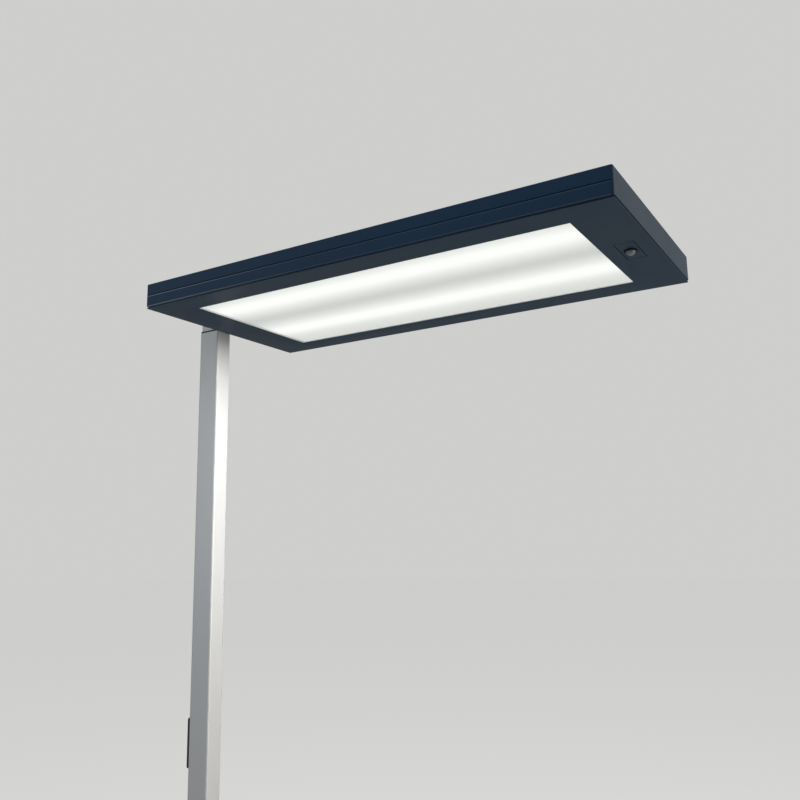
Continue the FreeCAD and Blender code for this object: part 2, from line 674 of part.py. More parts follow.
def control_bezel():
    face = "(-postDepth / 2)"
    body = new_body("ControlBezel")
    sketch = sketch_on(body, "YZ_Plane", f"{face} - panelProud")
    rectangle(sketch, ("-panelWide / 2", "-panelTall / 2"), ("panelWide / 2", "panelTall / 2"))
    pad(body, sketch, "panelProud")
    dress(body, "Fillet", "panelCorner", lambda edge: runs(edge, "x"))
    dress(body, "Chamfer", "edgeBevel",
          lambda edge: edge.BoundBox.XMax < value(f"{face} - panelProud") + 0.01)
    sketch = sketch_on(body, "YZ_Plane", face)
    rectangle(sketch, ("-boxWide / 2", "-boxTall / 2"), ("boxWide / 2", "boxTall / 2"))
    pad(body, sketch, "boxDeep")
    sketch = sketch_on(body, "YZ_Plane", boardX)
    rectangle(sketch, ("panelShell - boxWide / 2", "panelShell - boxTall / 2"),
              ("boxWide / 2 - panelShell", "boxTall / 2 - panelShell"))
    pocket(body, sketch, f"boxDeep + panelProud - panelFront")
    sketch = sketch_on(body, "YZ_Plane", face)
    for step in (-1, 0, 1):
        z = f"{step} * keyPitch"
        rectangle(sketch, ("-keyWide / 2 - keyGap", f"{z} - keyTall / 2 - keyGap"),
                  ("keyWide / 2 + keyGap", f"{z} + keyTall / 2 + keyGap"))
    pocket(body, sketch, "panelProud")
    keep(body, "control_bezel", atPanel)


def button(label, step):
    """A button cap, the flange that keeps it behind the panel, and a stem over its switch."""
    face = "(-postDepth / 2 - panelProud)"
    body = new_body("Button")
    sketch = sketch_on(body, "YZ_Plane", f"{face} - keyProud")
    rectangle(sketch, ("-keyWide / 2", "-keyTall / 2"), ("keyWide / 2", "keyTall / 2"))
    pad(body, sketch, "keyProud + panelFront + keyFlange")
    dress(body, "Chamfer", "keyCorner", lambda edge: runs(edge, "x"))
    dress(body, "Chamfer", "keyBevel", lambda edge: edge.BoundBox.XMax < value(f"{face} - keyProud") + 0.01)
    sketch = sketch_on(body, "YZ_Plane", keyBack)
    rectangle(sketch, ("-keyWide / 2 - keyLip", "-keyTall / 2 - keyLip"),
              ("keyWide / 2 + keyLip", "keyTall / 2 + keyLip"))
    pad(body, sketch, "keyFlange")
    sketch = sketch_on(body, "YZ_Plane", keyBack)
    circle(sketch, "keyStem", "0", "0")
    pad(body, sketch, f"{switchTop} - keyTravel - fitGap - {keyBack}")
    keep(body, label, (postX, "0", f"{panelZ} + {step} * keyPitch"))


def control_board():
    half_y, half_z = "(boxWide / 2)", "(boxTall / 2)"
    board = box((boardX, f"-{half_y}", f"-{half_z}"), ("boardThick", "boxWide", "boxTall"))
    keep(board, "control_board", atPanel)


def control_switches():
    switches = []
    for step in (-1, 0, 1):
        z = f"{step} * keyPitch"
        case = box((f"{boardX} - switchTall", "-switchSide / 2", f"{z} - switchSide / 2"),
                   ("switchTall", "switchSide", "switchSide"))
        plunger = rod("switchSide / 4", "plungerTall", (switchTop, "0", z), alongX)
        switches.append(fuse([case, plunger]))
    keep(group(switches), "control_switches", atPanel)


# Head housing: two side profiles, two end caps and a flat bottom frame.

def side_profile(label, side):
    """The extruded side: a shadow gap and a flange below, a groove in its face and a rebated rim above."""
    low, top = "frameThick", "headTall"
    section = [
        ("rebateDeep", low), ("rebateDeep", lipLow), ("edgeBevel", lipLow), ("0", f"{lipLow} + edgeBevel"),
        ("0", "grooveHigh - grooveWide / 2"), ("grooveDeep", "grooveHigh - grooveWide / 2"),
        ("grooveDeep", "grooveHigh + grooveWide / 2"), ("0", "grooveHigh + grooveWide / 2"),
        ("0", f"{top} - edgeBevel"), ("edgeBevel", top), ("rimWide", top),
        ("rimWide", coverLow), ("ledgeWide", coverLow), ("ledgeWide", ledgeLow), ("wallThick", ledgeLow),
        ("wallThick", flangeTop), ("flangeWide", flangeTop), ("flangeWide", low),
    ]
    body = new_body("SideProfile")
    sketch = sketch_on(body, "YZ_Plane", "capThick")
    outline(sketch, [(f"{side} * (headWide / 2 - ({inward}))", z) for inward, z in section])
    pad(body, sketch, "headLong - 2 * capThick")
    sketch = sketch_on(body, "XY_Plane")
    for x in studPlaces:
        circle(sketch, "studRadius + screwGap", x, f"{side} * {studY}")
    pocket(body, sketch, flangeTop, reverse=True)
    keep(body, label, inHead)


def end_cap(label, at, turn, slotted):
    """The end plate, drawn from its outer face inwards, with its shadow gap, ledges and two studs."""
    half = "(headWide / 2)"
    body = new_body("EndCap")
    sketch = sketch_on(body, "YZ_Plane")
    rectangle(sketch, (f"-{half}", lipLow), (half, "headTall"))
    pad(body, sketch, "capThick")
    dress(body, "Fillet", "capCorner", lambda edge: runs(edge, "z") and edge.CenterOfMass.x < 0.01)
    dress(body, "Chamfer", "edgeBevel",
          lambda edge: edge.BoundBox.ZLength < 0.001 and edge.BoundBox.XMin < value("capThick") - 0.01)
    sketch = sketch_on(body, "YZ_Plane", "rebateDeep")
    rectangle(sketch, (f"rebateDeep - {half}", "frameThick"), (f"{half} - rebateDeep", lipLow))
    pad(body, sketch, "capThick - rebateDeep")
    ledges = (("frameThick", "flangeThick", "flangeWide"), (ledgeLow, "ledgeThick", "ledgeWide"))
    for low, thick, reach in ledges:
        sketch = sketch_on(body, "YZ_Plane", "capThick")
        inner = f"({half} - {reach} - fitGap)"
        rectangle(sketch, (f"-{inner}", low), (inner, f"{low} + {thick}"))
        pad(body, sketch, "capLedge")
    sketch = sketch_on(body, "YZ_Plane", "capThick")
    for side in "-+":
        circle(sketch, "studRadius", f"{side}(tabInner + tabOuter) / 2", "lampHigh")
    pad(body, sketch, "studTall")
    if slotted:
        sketch = sketch_on(body, "YZ_Plane", "capThick")
        wide = "(armWide / 2 + fitGap)"
        rectangle(sketch, (f"-{wide}", f"{trayWeb} - fitGap"), (wide, f"{ledgeLow} - over"))
        pocket(body, sketch, "capThick")
    keep(body, label, at, turn)


def bottom_frame():
    """The sheet round the window, with the sensor cut-out and weld studs for its nuts."""
    body = new_body("BottomFrame")
    half = "(headWide / 2 - frameInset)"
    sketch = sketch_on(body, "XY_Plane")
    rectangle(sketch, ("frameInset", f"-{half}"), ("headLong - frameInset", half))
    rectangle(sketch, ("windowEnd", "windowSide - headWide / 2"),
              ("headLong - windowEnd", "headWide / 2 - windowSide"))
    rectangle(sketch, (f"{sensorX} - sensorSlotX / 2", "-sensorSlotY / 2"),
              (f"{sensorX} + sensorSlotX / 2", "sensorSlotY / 2"))
    pad(body, sketch, "frameThick")
    outer = value(half) - 0.01
    dress(body, "Fillet", "capCorner - frameInset",
          lambda edge: runs(edge, "z") and abs(edge.CenterOfMass.y) > outer)
    sketch = sketch_on(body, "XY_Plane", "frameThick")
    for x in studPlaces:
        for side in "-+":
            circle(sketch, "studRadius", x, f"{side}{studY}")
    pad(body, sketch, "studTall")
    keep(body, "bottom_frame", inHead)


def frame_nuts():
    nuts = []
    for x in studPlaces:
        for side in "-+":
            y = f"{side}{studY}"
            hexagon = prism("nutSide", "nutThick", (x, y, flangeTop))
            nuts.append(cut(hexagon, [rod("studRadius + screwGap", "nutThick", (x, y, flangeTop))]))
    keep(group(nuts), "frame_nuts", inHead)


def tray_nuts():
    nuts = []
    for x in ("capThick + trayThick", "headLong - capThick - trayThick - nutThick"):
        for side in "-+":
            y = f"{side}(tabInner + tabOuter) / 2"
            hexagon = prism("nutSide", "nutThick", (x, y, "lampHigh"), alongX)
            bore = rod("studRadius + screwGap", "nutThick", (x, y, "lampHigh"), alongX)
            nuts.append(cut(hexagon, [bore]))
    keep(group(nuts), "tray_nuts", inHead)


def corner_cleats():
    """Angle cleats that tie each end cap to each side profile."""
    inner = "(headWide / 2 - wallThick)"
    low = f"({flangeTop} + cleatRise)"
    cleats = []
    for x, way in (("capThick", 1), ("headLong - capThick", -1)):
        for side in (-1, 1):
            body = new_body("Cleat")
            sketch = sketch_on(body, "XY_Plane", low)
            outline(sketch, [
                (f"{x} + {way} * ({along})", f"{side} * ({inner} - ({across}))")
                for along, across in (
                    ("0", "0"), ("cleatLeg", "0"), ("cleatLeg", "cleatThick"), ("cleatThick", "cleatThick"),
                    ("cleatThick", "cleatLeg"), ("0", "cleatLeg"),
                )
            ])
            pad(body, sketch, "cleatTall")
            cleats.append(body)
    keep(group(cleats), "corner_cleats", inHead)


def top_cover():
    """The clear dust cover, which lies loose in the rebate and lifts off."""
    half = "(headWide / 2 - rimWide - coverGap)"
    body = rounded_block(("capThick + coverGap", f"-{half}"), ("headLong - capThick - coverGap", half),
                         "coverThick", "capCorner", coverLow)
    keep(body, "top_cover", inHead)


# Light box: the satin diffuser on the frame, a spacer round it and the light sheet on that.

def diffuser_panel():
    panel = box((lightX, f"-{lightWide} / 2", "frameThick"), (lightLong, lightWide, "panelRest"))
    keep(panel, "diffuser_panel", inHead)


def spacer_frame():
    body = new_body("SpacerFrame")
    sketch = sketch_on(body, "XY_Plane", spacerLow)
    rectangle(sketch, (lightX, f"-{lightWide} / 2"), (f"{lightX} + {lightLong}", f"{lightWide} / 2"))
    rectangle(sketch, (f"{lightX} + spacerWall", f"spacerWall - {lightWide} / 2"),
              (f"{lightX} + {lightLong} - spacerWall", f"{lightWide} / 2 - spacerWall"))
    pad(body, sketch, "spacerTall")
    keep(body, "spacer_frame", inHead)


def light_sheet():
    sheet = box((lightX, f"-{lightWide} / 2", sheetLow), (lightLong, lightWide, "sheetThick"))
    keep(sheet, "light_sheet", inHead)


def sheet_clips():
    """Bent clips from the profile flange over the edge of the light sheet."""
    edge = f"(headWide / 2 - {lightWide} / 2)"
    section = [
        ("wallThick", flangeTop), (f"{edge} - fitGap", flangeTop), (f"{edge} - fitGap", sheetTop),
        (f"{edge} + clipReach", sheetTop), (f"{edge} + clipReach", clipTop),
        (f"{edge} - fitGap - clipThick", clipTop),
        (f"{edge} - fitGap - clipThick", f"{flangeTop} + clipThick"), ("wallThick", f"{flangeTop} + clipThick"),
    ]
    clips = []
    for x in ("headLong / 4", "headLong * 5 / 12", "headLong * 7 / 12", "headLong * 3 / 4"):
        for side in (-1, 1):
            body = new_body("SheetClip")
            sketch = sketch_on(body, "YZ_Plane", f"{x} - clipLong / 2")
            outline(sketch, [(f"{side} * (headWide / 2 - ({inward}))", z) for inward, z in section])
            pad(body, sketch, "clipLong")
            clips.append(body)
    keep(group(clips), "sheet_clips", inHead)


# Gear: the tray that spans the head, with ballast, terminals, reflectors, lampholders and lamps.

def gear_tray():
    """The folded channel from cap to cap, with end tabs, a sensor cut-out and arm screw holes."""
    body = new_body("GearTray")
    sketch = sketch_on(body, "YZ_Plane", "capThick")
    outline(sketch, [
        ("-trayHalf", "trayFloor"), ("trayHalf", "trayFloor"), ("trayHalf", "trayTop"),
        ("trayHalf - trayThick", "trayTop"), ("trayHalf - trayThick", trayWeb),
        ("trayThick - trayHalf", trayWeb), ("trayThick - trayHalf", "trayTop"), ("-trayHalf", "trayTop"),
    ])
    pad(body, sketch, "headLong - 2 * capThick")
    for x in ("capThick", "headLong - capThick - trayThick"):
        sketch = sketch_on(body, "YZ_Plane", x)
        for side in (-1, 1):
            low, high = ("tabInner", "tabOuter") if side > 0 else ("-tabOuter", "-tabInner")
            rectangle(sketch, (low, f"{trayWeb} - trayThick / 2"), (high, "trayTop - over"))
        pad(body, sketch, "trayThick")
    tools = [
        box((f"{sensorX} - sensorSlotX / 2 - sensorLip - over", "-sensorSlotY / 2 - sensorLip - over",
             "trayFloor - over"),
            ("sensorSlotX + 2 * sensorLip + 2 * over", "sensorSlotY + 2 * sensorLip + 2 * over",
             "trayThick + 2 * over")),
        box((f"{socketMiddle} - gearLead - fitGap", "-trayHalf - over", f"{gearHigh} - gearLead - fitGap"),
            ("2 * gearLead + 2 * fitGap", "2 * trayHalf + 2 * over", "2 * gearLead + 2 * fitGap")),
    ]
    for x in ("0", "headLong - capThick - 2 * trayThick"):
        for side in "-+":
            tools.append(rod("studRadius + screwGap", "capThick + 2 * trayThick",
                             (x, f"{side}(tabInner + tabOuter) / 2", "lampHigh"), alongX))
    for x in armScrewPlaces:
        for side in "-+":
            tools.append(rod("armScrewRadius + screwGap", "trayThick",
                             (x, f"{side}armScrewPitch / 2", "trayFloor")))
    keep(cut(body, tools), "gear_tray", inHead)


def ballast():
    """The slim ballast: a case with bevelled long edges on a longer foot plate."""
    y = "ballastWide / 2"
    start = "ballastStart"
    foot = box((start, f"-{y}", trayWeb), ("ballastLong", "ballastWide", "trayThick"))
    body = new_body("BallastCase")
    sketch = sketch_on(body, "YZ_Plane", f"{start} + ballastFoot")
    bevel = "ballastBevel"
    low, top = trayWeb, f"({trayWeb} + ballastTall)"
    outline(sketch, [
        (f"-{y}", low), (y, low), (y, f"{top} - {bevel}"), (f"{y} - {bevel}", top),
        (f"{bevel} - {y}", top), (f"-{y}", f"{top} - {bevel}"),
    ])
    pad(body, sketch, "ballastLong - 2 * ballastFoot")
    holes = [
        rod("smallScrew + screwGap", "trayThick", (x, "0", trayWeb))
        for x in ("ballastStart + ballastFoot / 2", "ballastStart + ballastLong - ballastFoot / 2")
    ]
    keep(cut(fuse([foot, body]), holes), "ballast", inHead)


def ballast_screws():
    screws = []
    for x in ("ballastStart + ballastFoot / 2", "ballastStart + ballastLong - ballastFoot / 2"):
        shank = rod("smallScrew", "trayThick", (x, "0", trayWeb))
        head = prism("smallHead", "smallHeadTall", (x, "0", f"{trayWeb} + trayThick"))
        screws.append(fuse([shank, head]))
    keep(group(screws), "ballast_screws", inHead)


def terminal_block():
    """Five poles, each with a screw well above and a wire well towards the ballast."""
    block = box(("terminalStart", "-terminalWide / 2", trayWeb),
                ("terminalLong", "terminalWide", "terminalTall"))
    wells = []
    for pole in (-2, -1, 0, 1, 2):
        y = f"{pole} * polePitch"
        wells.append(rod("poleRadius", "poleDeep",
                         (f"{terminalEnd} - poleBack", y, f"{trayWeb} + terminalTall - poleDeep")))
        wells.append(box((f"{terminalEnd} - poleDeep", f"{y} - wireRadius", f"{wellHigh} - wireRadius"),
                         ("poleDeep", "2 * wireRadius", "2 * wireRadius")))
    keep(cut(block, wells), "terminal_block", inHead)


def ballast_leads():
    """Straight leads from the wells of the terminal block to the end of the ballast."""
    start = f"({terminalEnd} - poleDeep)"
    leads = [
        rod("gearLead", f"ballastStart + ballastFoot - {start}",
            (start, f"{side} * polePitch", wellHigh), alongX)
        for side in (-1, 1)
    ]
    keep(group(leads), "ballast_leads", inHead)


def flat_bend(x, y, start):
    """A quarter of a ring lying flat in the tray, counted from +X towards +Y."""
    bend = doc.addObject("Part::Torus", "Bend")
    bend.setExpression("Radius1", bound("gearBend"))
    bend.setExpression("Radius2", bound("gearLead"))
    bend.Angle3 = 90
    return place(bend, (x, y, gearHigh), FreeCAD.Rotation(FreeCAD.Vector(0, 0, 1), start))


def lamp_leads():
    """From the side of the ballast past the terminal block and through the tray's wall to each holder."""
    start = "(ballastStart + ballastFoot + lampLeadStart)"
    off = "(trayHalf - gearBend - lampLeadOut)"
    lead = fuse([
        rod("gearLead", f"{off} - gearBend - ballastWide / 2", (start, "ballastWide / 2", gearHigh), alongY),
        flat_bend(f"{start} - gearBend", f"{off} - gearBend", 0),
        rod("gearLead", f"{start} - {socketMiddle} - 2 * gearBend",
            (f"{socketMiddle} + gearBend", off, gearHigh), alongX),
        flat_bend(f"{socketMiddle} + gearBend", f"{off} + gearBend", 180),
        rod("gearLead", "lampLeadOut", (socketMiddle, f"{off} + gearBend", gearHigh), alongY),
    ])
    twin = doc.addObject("Part::Mirroring", "Twin")
    twin.Source = lead
    twin.Normal = (0, 1, 0)
    keep(group([lead, twin]), "lamp_leads", inHead)


def sensor_lead():
    """From the end of the ballast straight to the side of the sensor's box."""
    start = "(ballastStart + ballastLong - ballastFoot)"
    lead = rod("gearLead", f"{sensorX} - sensorSlotX / 2 - sensorLip - {start}",
               (start, "sensorLeadOff", gearHigh), alongX)
    keep(lead, "sensor_lead", inHead, alongX)


def side_reflector(label, side):
    """The bent white strip beside each lamp, from the sheet clips up to the cover ledge."""
    thick = "reflectorThick"
    edge = f"(headWide / 2 - {lightWide} / 2)"
    section = [
        (f"{edge} + clipReach", clipTop), (f"{edge} + clipReach", f"{clipTop} + {thick}"),
        (f"{edge} + {thick} / 2", f"{clipTop} + {thick}"),
        (f"ledgeWide - reflectorLip + {thick}", f"{ledgeLow} - {thick}"),
        ("ledgeWide", f"{ledgeLow} - {thick}"), ("ledgeWide", ledgeLow), ("ledgeWide - reflectorLip", ledgeLow), (edge, clipTop),
    ]
    body = new_body("SideReflector")
    ends = "(capThick + cleatLeg + reflectorEnd)"
    sketch = sketch_on(body, "YZ_Plane", ends)
    outline(sketch, [(f"{side} * (headWide / 2 - ({inward}))", z) for inward, z in section])
    pad(body, sketch, f"headLong - 2 * {ends}")
    keep(body, label, inHead)


def lampholders():
    holders = []
    low = f"(lampHigh - socketTall / 2)"
    for side in (-1, 1):
        edge = "trayHalf" if side > 0 else "-trayHalf - socketWide"
        case = box((f"{lampStart} - socketLong", edge, low), ("socketLong", "socketWide", "socketTall"))
        step = box((f"{lampStart} - socketLong", edge, f"{low} + socketTall - socketDrop"),
                   ("socketStep", "socketWide", "socketDrop"))
        half = "(pinRadius + screwGap)"
        wells = [
            box((f"{lampStart} - pinLong", f"{side} * lampSpread + {pin} * pinPitch - {half}",
                 f"lampHigh - {half}"), ("pinLong", f"2 * {half}", f"2 * {half}"))
            for pin in pinPlaces
        ]
        holders.append(cut(case, [step] + wells))
    keep(group(holders), "lampholders", inHead)


def lamp_bases():
    bases = []
    for side in (-1, 1):
        body = rounded_block((lampStart, f"{side} * lampSpread - plinthWide / 2"),
                             (f"{lampStart} + plinthLong", f"{side} * lampSpread + plinthWide / 2"),
                             "plinthTall", "plinthCorner", "lampHigh - plinthTall / 2")
        tubes = [
            rod("tubeRadius", "plinthLong / 2",
                (f"{lampStart} + plinthLong / 2", f"{side} * lampSpread + {half} * lampPitch / 2",
                 "lampHigh"), alongX)
            for half in (-1, 1)
        ]
        bases.append(cut(body, tubes))
    keep(group(bases), "lamp_bases", inHead)


def lamp_pins():
    pins = []
    for side in (-1, 1):
        for pin in pinPlaces:
            pins.append(rod("pinRadius", "pinLong",
                            (f"{lampStart} - pinLong", f"{side} * lampSpread + {pin} * pinPitch", "lampHigh"),
                            alongX))
    keep(group(pins), "lamp_pins", inHead)


def lamp(label, side):
    """Two parallel tubes with round ends, joined by a short bridge near the far end."""
    start = f"({lampStart} + plinthLong / 2)"
    long = "(lampLong - plinthLong / 2 - tubeRadius)"
    solids = []
    for half in (-1, 1):
        y = f"{side} * lampSpread + {half} * lampPitch / 2"
        solids.append(rod("tubeRadius", long, (start, y, "lampHigh"), alongX))
        solids.append(ball("tubeRadius", (f"{start} + {long}", y, "lampHigh")))
    solids.append(rod("bridgeRadius", "lampPitch", (f"{start} + {long} - 2 * tubeRadius",
                      f"{side} * lampSpread - lampPitch / 2", "lampHigh"), alongY))
    keep(fuse(solids), label, inHead)


def lamp_clips():
    clips = []
    x = f"({lampStart} + lampLong - gripBack)"
    low, top = "(lampHigh - gripDrop)", "(lampHigh + tubeRadius + fitGap + gripWall)"
    for side in (-1, 1):
        edge = "trayHalf" if side > 0 else "-trayHalf - socketWide"
        strap = box((x, edge, low), ("gripThick", "socketWide", f"{top} - {low}"))
        tubes = []
        for half in (-1, 1):
            y = f"{side} * lampSpread + {half} * lampPitch / 2"
            tubes.append(rod("tubeRadius + fitGap", "gripThick", (x, y, "lampHigh"), alongX))
            tubes.append(box((x, f"{y} - gripMouth / 2", low), ("gripThick", "gripMouth", "gripDrop")))
        clips.append(cut(strap, tubes))
    keep(group(clips), "lamp_clips", inHead)


# Sensor: a narrow module behind a cut-out in the frame, with a domed lens that stands proud.

def sensor_face():
    x, y = "(sensorSlotX / 2 + sensorLip)", "(sensorSlotY / 2 + sensorLip)"
    flange = box((f"-{x}", f"-{y}", "0"), (f"2 * {x}", f"2 * {y}", "sensorFace"))
    x, y = "(sensorSlotX / 2 - sensorGap)", "(sensorSlotY / 2 - sensorGap)"
    raised = box((f"-{x}", f"-{y}", "-frameThick"), (f"2 * {x}", f"2 * {y}", "frameThick"))
    deep = "(frameThick + sensorFace)"
    tools = [
        rod("lensRadius + fitGap", deep, ("0", "0", "-frameThick")),
        rod("collarRadius", "collarDeep", ("0", "0", "-frameThick")),
        rod("cellRadius + screwGap", deep, ("0", "-cellOff", "-frameThick")),
        rod("ledRadius + screwGap", deep, ("0", "cellOff", "-frameThick")),
    ]
    keep(cut(fuse([flange, raised]), tools), "sensor_face", atSensor)


def lens_collar():
    """The ring that the lens stands in, seated in the sensor face."""
    low = "-frameThick - collarRise"
    ring = rod("collarRadius - fitGap", "collarDeep + collarRise", ("0", "0", low))
    bore = rod("lensRadius + fitGap", "collarDeep + collarRise", ("0", "0", low))
    keep(cut(ring, [bore]), "lens_collar", atSensor)


def sensor_lens():
    """A straight skirt with a domed end, held by a flange behind the face."""
    dome = ball("lensRadius", ("0", "0", "-lensDrop"), lower_only=True)
    skirt = rod("lensRadius", "lensDrop + sensorFace", ("0", "0", "-lensDrop"))
    flange = rod("lensFlange", "lensLip", ("0", "0", "sensorFace"))
    keep(fuse([dome, skirt, flange]), "sensor_lens", atSensor)


def light_cell():
    """The light cell, from the face's front up to the board."""
    cell = rod("cellRadius", f"frameThick + {boardRise}", ("0", "-cellOff", "-frameThick"))
    keep(cell, "light_cell", atSensor)


def status_light():
    led = rod("ledRadius", f"frameThick + {boardRise}", ("0", "cellOff", "-frameThick"))
    keep(led, "status_light", atSensor)


def sensor_box():
    x, y = "(sensorSlotX / 2 + sensorLip)", "(sensorSlotY / 2 + sensorLip)"
    outer = box((f"-{x}", f"-{y}", "sensorFace"), (f"2 * {x}", f"2 * {y}", "sensorTall"))
    inner = box((f"sensorShell - {x}", f"sensorShell - {y}", "sensorFace"),
                (f"2 * {x} - 2 * sensorShell", f"2 * {y} - 2 * sensorShell", "sensorTall - sensorShell"))
    keep(cut(outer, [inner]), "sensor_box", atSensor)


def sensor_board():
    x, y = "(sensorSlotX / 2 + sensorLip - sensorShell)", "(sensorSlotY / 2 + sensorLip - sensorShell)"
    board = box((f"-{x}", f"-{y}", boardRise), (f"2 * {x}", f"2 * {y}", "boardThick"))
    keep(board, "sensor_board", atSensor)


def sensor_element():
    """The round detector can that hangs from the board over the lens."""
    can = rod("canRadius", "canTall", ("0", "0", f"{boardRise} - canTall"))
    keep(can, "sensor_element", atSensor)


base_plate()
base_glides()
post_foot()
base_screws()
post_tube()
inlet_grommet()
inlet_terminal()
seam_shim()
head_bracket()
bracket_lid()
clamp_screws()
arm_screws()
supply_lead()
control_lead()
control_bezel()
for name, step in (("button_dimmer", -1), ("button_power", 0), ("button_brighter", 1)):
    button(name, step)
control_board()
control_switches()
for name, side in (("near", -1), ("far", 1)):
    side_profile(f"side_profile_{name}", side)
    side_reflector(f"side_reflector_{name}", side)
    lamp(f"lamp_{name}", side)
end_cap("end_cap_post", inHead, alongZ, slotted=True)
end_cap("end_cap_sensor", (f"{headX} + headLong", "0", headZ), halfTurn, slotted=False)
bottom_frame()
frame_nuts()
tray_nuts()
corner_cleats()
top_cover()
diffuser_panel()
spacer_frame()
light_sheet()
sheet_clips()
gear_tray()
ballast()
ballast_screws()
terminal_block()
ballast_leads()
lamp_leads()
sensor_lead()
lampholders()
lamp_bases()
lamp_pins()
lamp_clips()
sensor_face()
lens_collar()
sensor_lens()
light_cell()
status_light()
sensor_box()
sensor_board()
sensor_element()

doc.recompute()
for item in doc.Objects:
    if {"Invalid", "Error"} & set(item.State):
        raise RuntimeError(f"{item.Label} failed: {item.State}")
for part in parts:
    if part.Shape.isNull() or not part.Shape.isValid() or not part.Shape.Solids:
        raise RuntimeError(f"{part.Label} has no valid solid")

os.makedirs("parts", exist_ok=True)
for part in parts:
    part.Shape.exportStep(f"parts/{part.Label}.step")
print(len(parts), "sub-parts written")
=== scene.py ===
import bpy
from math import cos, pi, radians, sin
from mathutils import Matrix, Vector


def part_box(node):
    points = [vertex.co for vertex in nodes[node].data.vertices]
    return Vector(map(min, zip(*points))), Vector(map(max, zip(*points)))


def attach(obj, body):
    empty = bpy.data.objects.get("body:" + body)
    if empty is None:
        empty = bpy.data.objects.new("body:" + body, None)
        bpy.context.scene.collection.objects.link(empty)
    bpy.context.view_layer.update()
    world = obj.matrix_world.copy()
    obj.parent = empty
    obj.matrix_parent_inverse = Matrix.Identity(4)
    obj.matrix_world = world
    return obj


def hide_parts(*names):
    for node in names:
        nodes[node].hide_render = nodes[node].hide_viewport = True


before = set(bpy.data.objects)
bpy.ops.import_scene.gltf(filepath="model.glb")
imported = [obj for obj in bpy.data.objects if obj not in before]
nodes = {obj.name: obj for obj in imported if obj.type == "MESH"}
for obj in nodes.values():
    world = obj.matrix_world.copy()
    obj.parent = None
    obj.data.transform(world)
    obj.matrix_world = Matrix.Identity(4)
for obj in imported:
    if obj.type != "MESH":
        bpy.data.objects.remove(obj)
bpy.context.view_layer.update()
scene = bpy.context.scene
bpy.ops.object.select_all(action="DESELECT")
print("frame loaded:", len(nodes), "nodes")


# small helpers for materials

def newMaterial(name):
    mat = bpy.data.materials.new(name)
    mat.use_nodes = True
    tree = mat.node_tree
    return mat, tree, tree.nodes["Principled BSDF"]


def setInputs(shader, values):
    for key, value in values.items():
        shader.inputs[key].default_value = value


def addNode(tree, kind, inputs=None, **settings):
    node = tree.nodes.new(kind)
    for key, value in settings.items():
        setattr(node, key, value)
    for key, value in (inputs or {}).items():
        if isinstance(value, bpy.types.NodeSocket):
            tree.links.new(value, node.inputs[key])
        else:
            node.inputs[key].default_value = value
    return node


def mathNode(tree, operation, first, second=0.0):
    return addNode(tree, "ShaderNodeMath", {0: first, 1: second}, operation=operation).outputs[0]


def mixColors(tree, share, first, second, way="MIX"):
    # in a colour mix, inputs 0, 6 and 7 are the share and the two colours, and output 2 is the mixed one
    inputs = {0: share, 6: first, 7: second}
    return addNode(tree, "ShaderNodeMix", inputs, data_type="RGBA", blend_type=way).outputs[2]


def rampBetween(tree, source, stops, interpolation="LINEAR"):
    ramp = addNode(tree, "ShaderNodeValToRGB", {"Fac": source})
    ramp.color_ramp.interpolation = interpolation
    elements = ramp.color_ramp.elements
    while len(elements) < len(stops):
        elements.new(0.5)  # moved to its own place below
    for element, (place, color) in zip(elements, stops):
        element.position = place
        element.color = (*color, 1)
    return ramp.outputs["Color"]


def remap(tree, source, fromLow, fromHigh, toLow, toHigh):
    span = {"Value": source, "From Min": fromLow, "From Max": fromHigh, "To Min": toLow, "To Max": toHigh}
    return addNode(tree, "ShaderNodeMapRange", span).outputs["Result"]


def objectPlace(tree):
    return addNode(tree, "ShaderNodeTexCoord").outputs["Object"]


def axesOf(tree, vector):
    return addNode(tree, "ShaderNodeSeparateXYZ", {"Vector": vector}).outputs


def facingUp(tree):
    return axesOf(tree, addNode(tree, "ShaderNodeNewGeometry").outputs["Normal"])["Z"]


def noise(tree, place, scale, detail=3.0):
    inputs = {"Vector": place, "Scale": scale, "Detail": detail}
    return addNode(tree, "ShaderNodeTexNoise", inputs).outputs["Fac"]


def cellGrey(tree, place, scale):
    # one random grey to each cell of a pattern of crystals or flakes
    cells = addNode(tree, "ShaderNodeTexVoronoi", {"Vector": place, "Scale": scale}).outputs["Color"]
    return addNode(tree, "ShaderNodeSeparateColor", {"Color": cells}).outputs["Red"]


def bumpFrom(tree, shader, height, strength, distance):
    bump = addNode(tree, "ShaderNodeBump", {"Height": height, "Strength": strength, "Distance": distance})
    tree.links.new(bump.outputs["Normal"], shader.inputs["Normal"])


def shade(color, factor):
    return [c * factor for c in color]


# camera first, then the plain room

view = {"place": (0.65107, -0.99016, 1.54315), "turn": (100.609, 0.895, 31.659), "lens": 37.195, "film": 36.0}
bpy.ops.object.camera_add(location=view["place"], rotation=[radians(angle) for angle in view["turn"]])
camera = bpy.context.object
camera.data.lens = view["lens"]
camera.data.sensor_width = view["film"]
scene.camera = camera
scene.view_settings.view_transform = "Standard"

room = {
    "floorSize": 90.0, "floorColor": (0.66, 0.66, 0.65), "floorRough": 0.85,
    "floorSeen": (0.27, 0.27, 0.266), "floorLift": 0.9,  # its colour and glow as the camera sees it
    "backdrop": (0.62, 0.62, 0.61), "mirrored": (0.45, 0.45, 0.445),
    "ambient": 0.22, "ambientColor": (0.96, 0.98, 1.0),
}


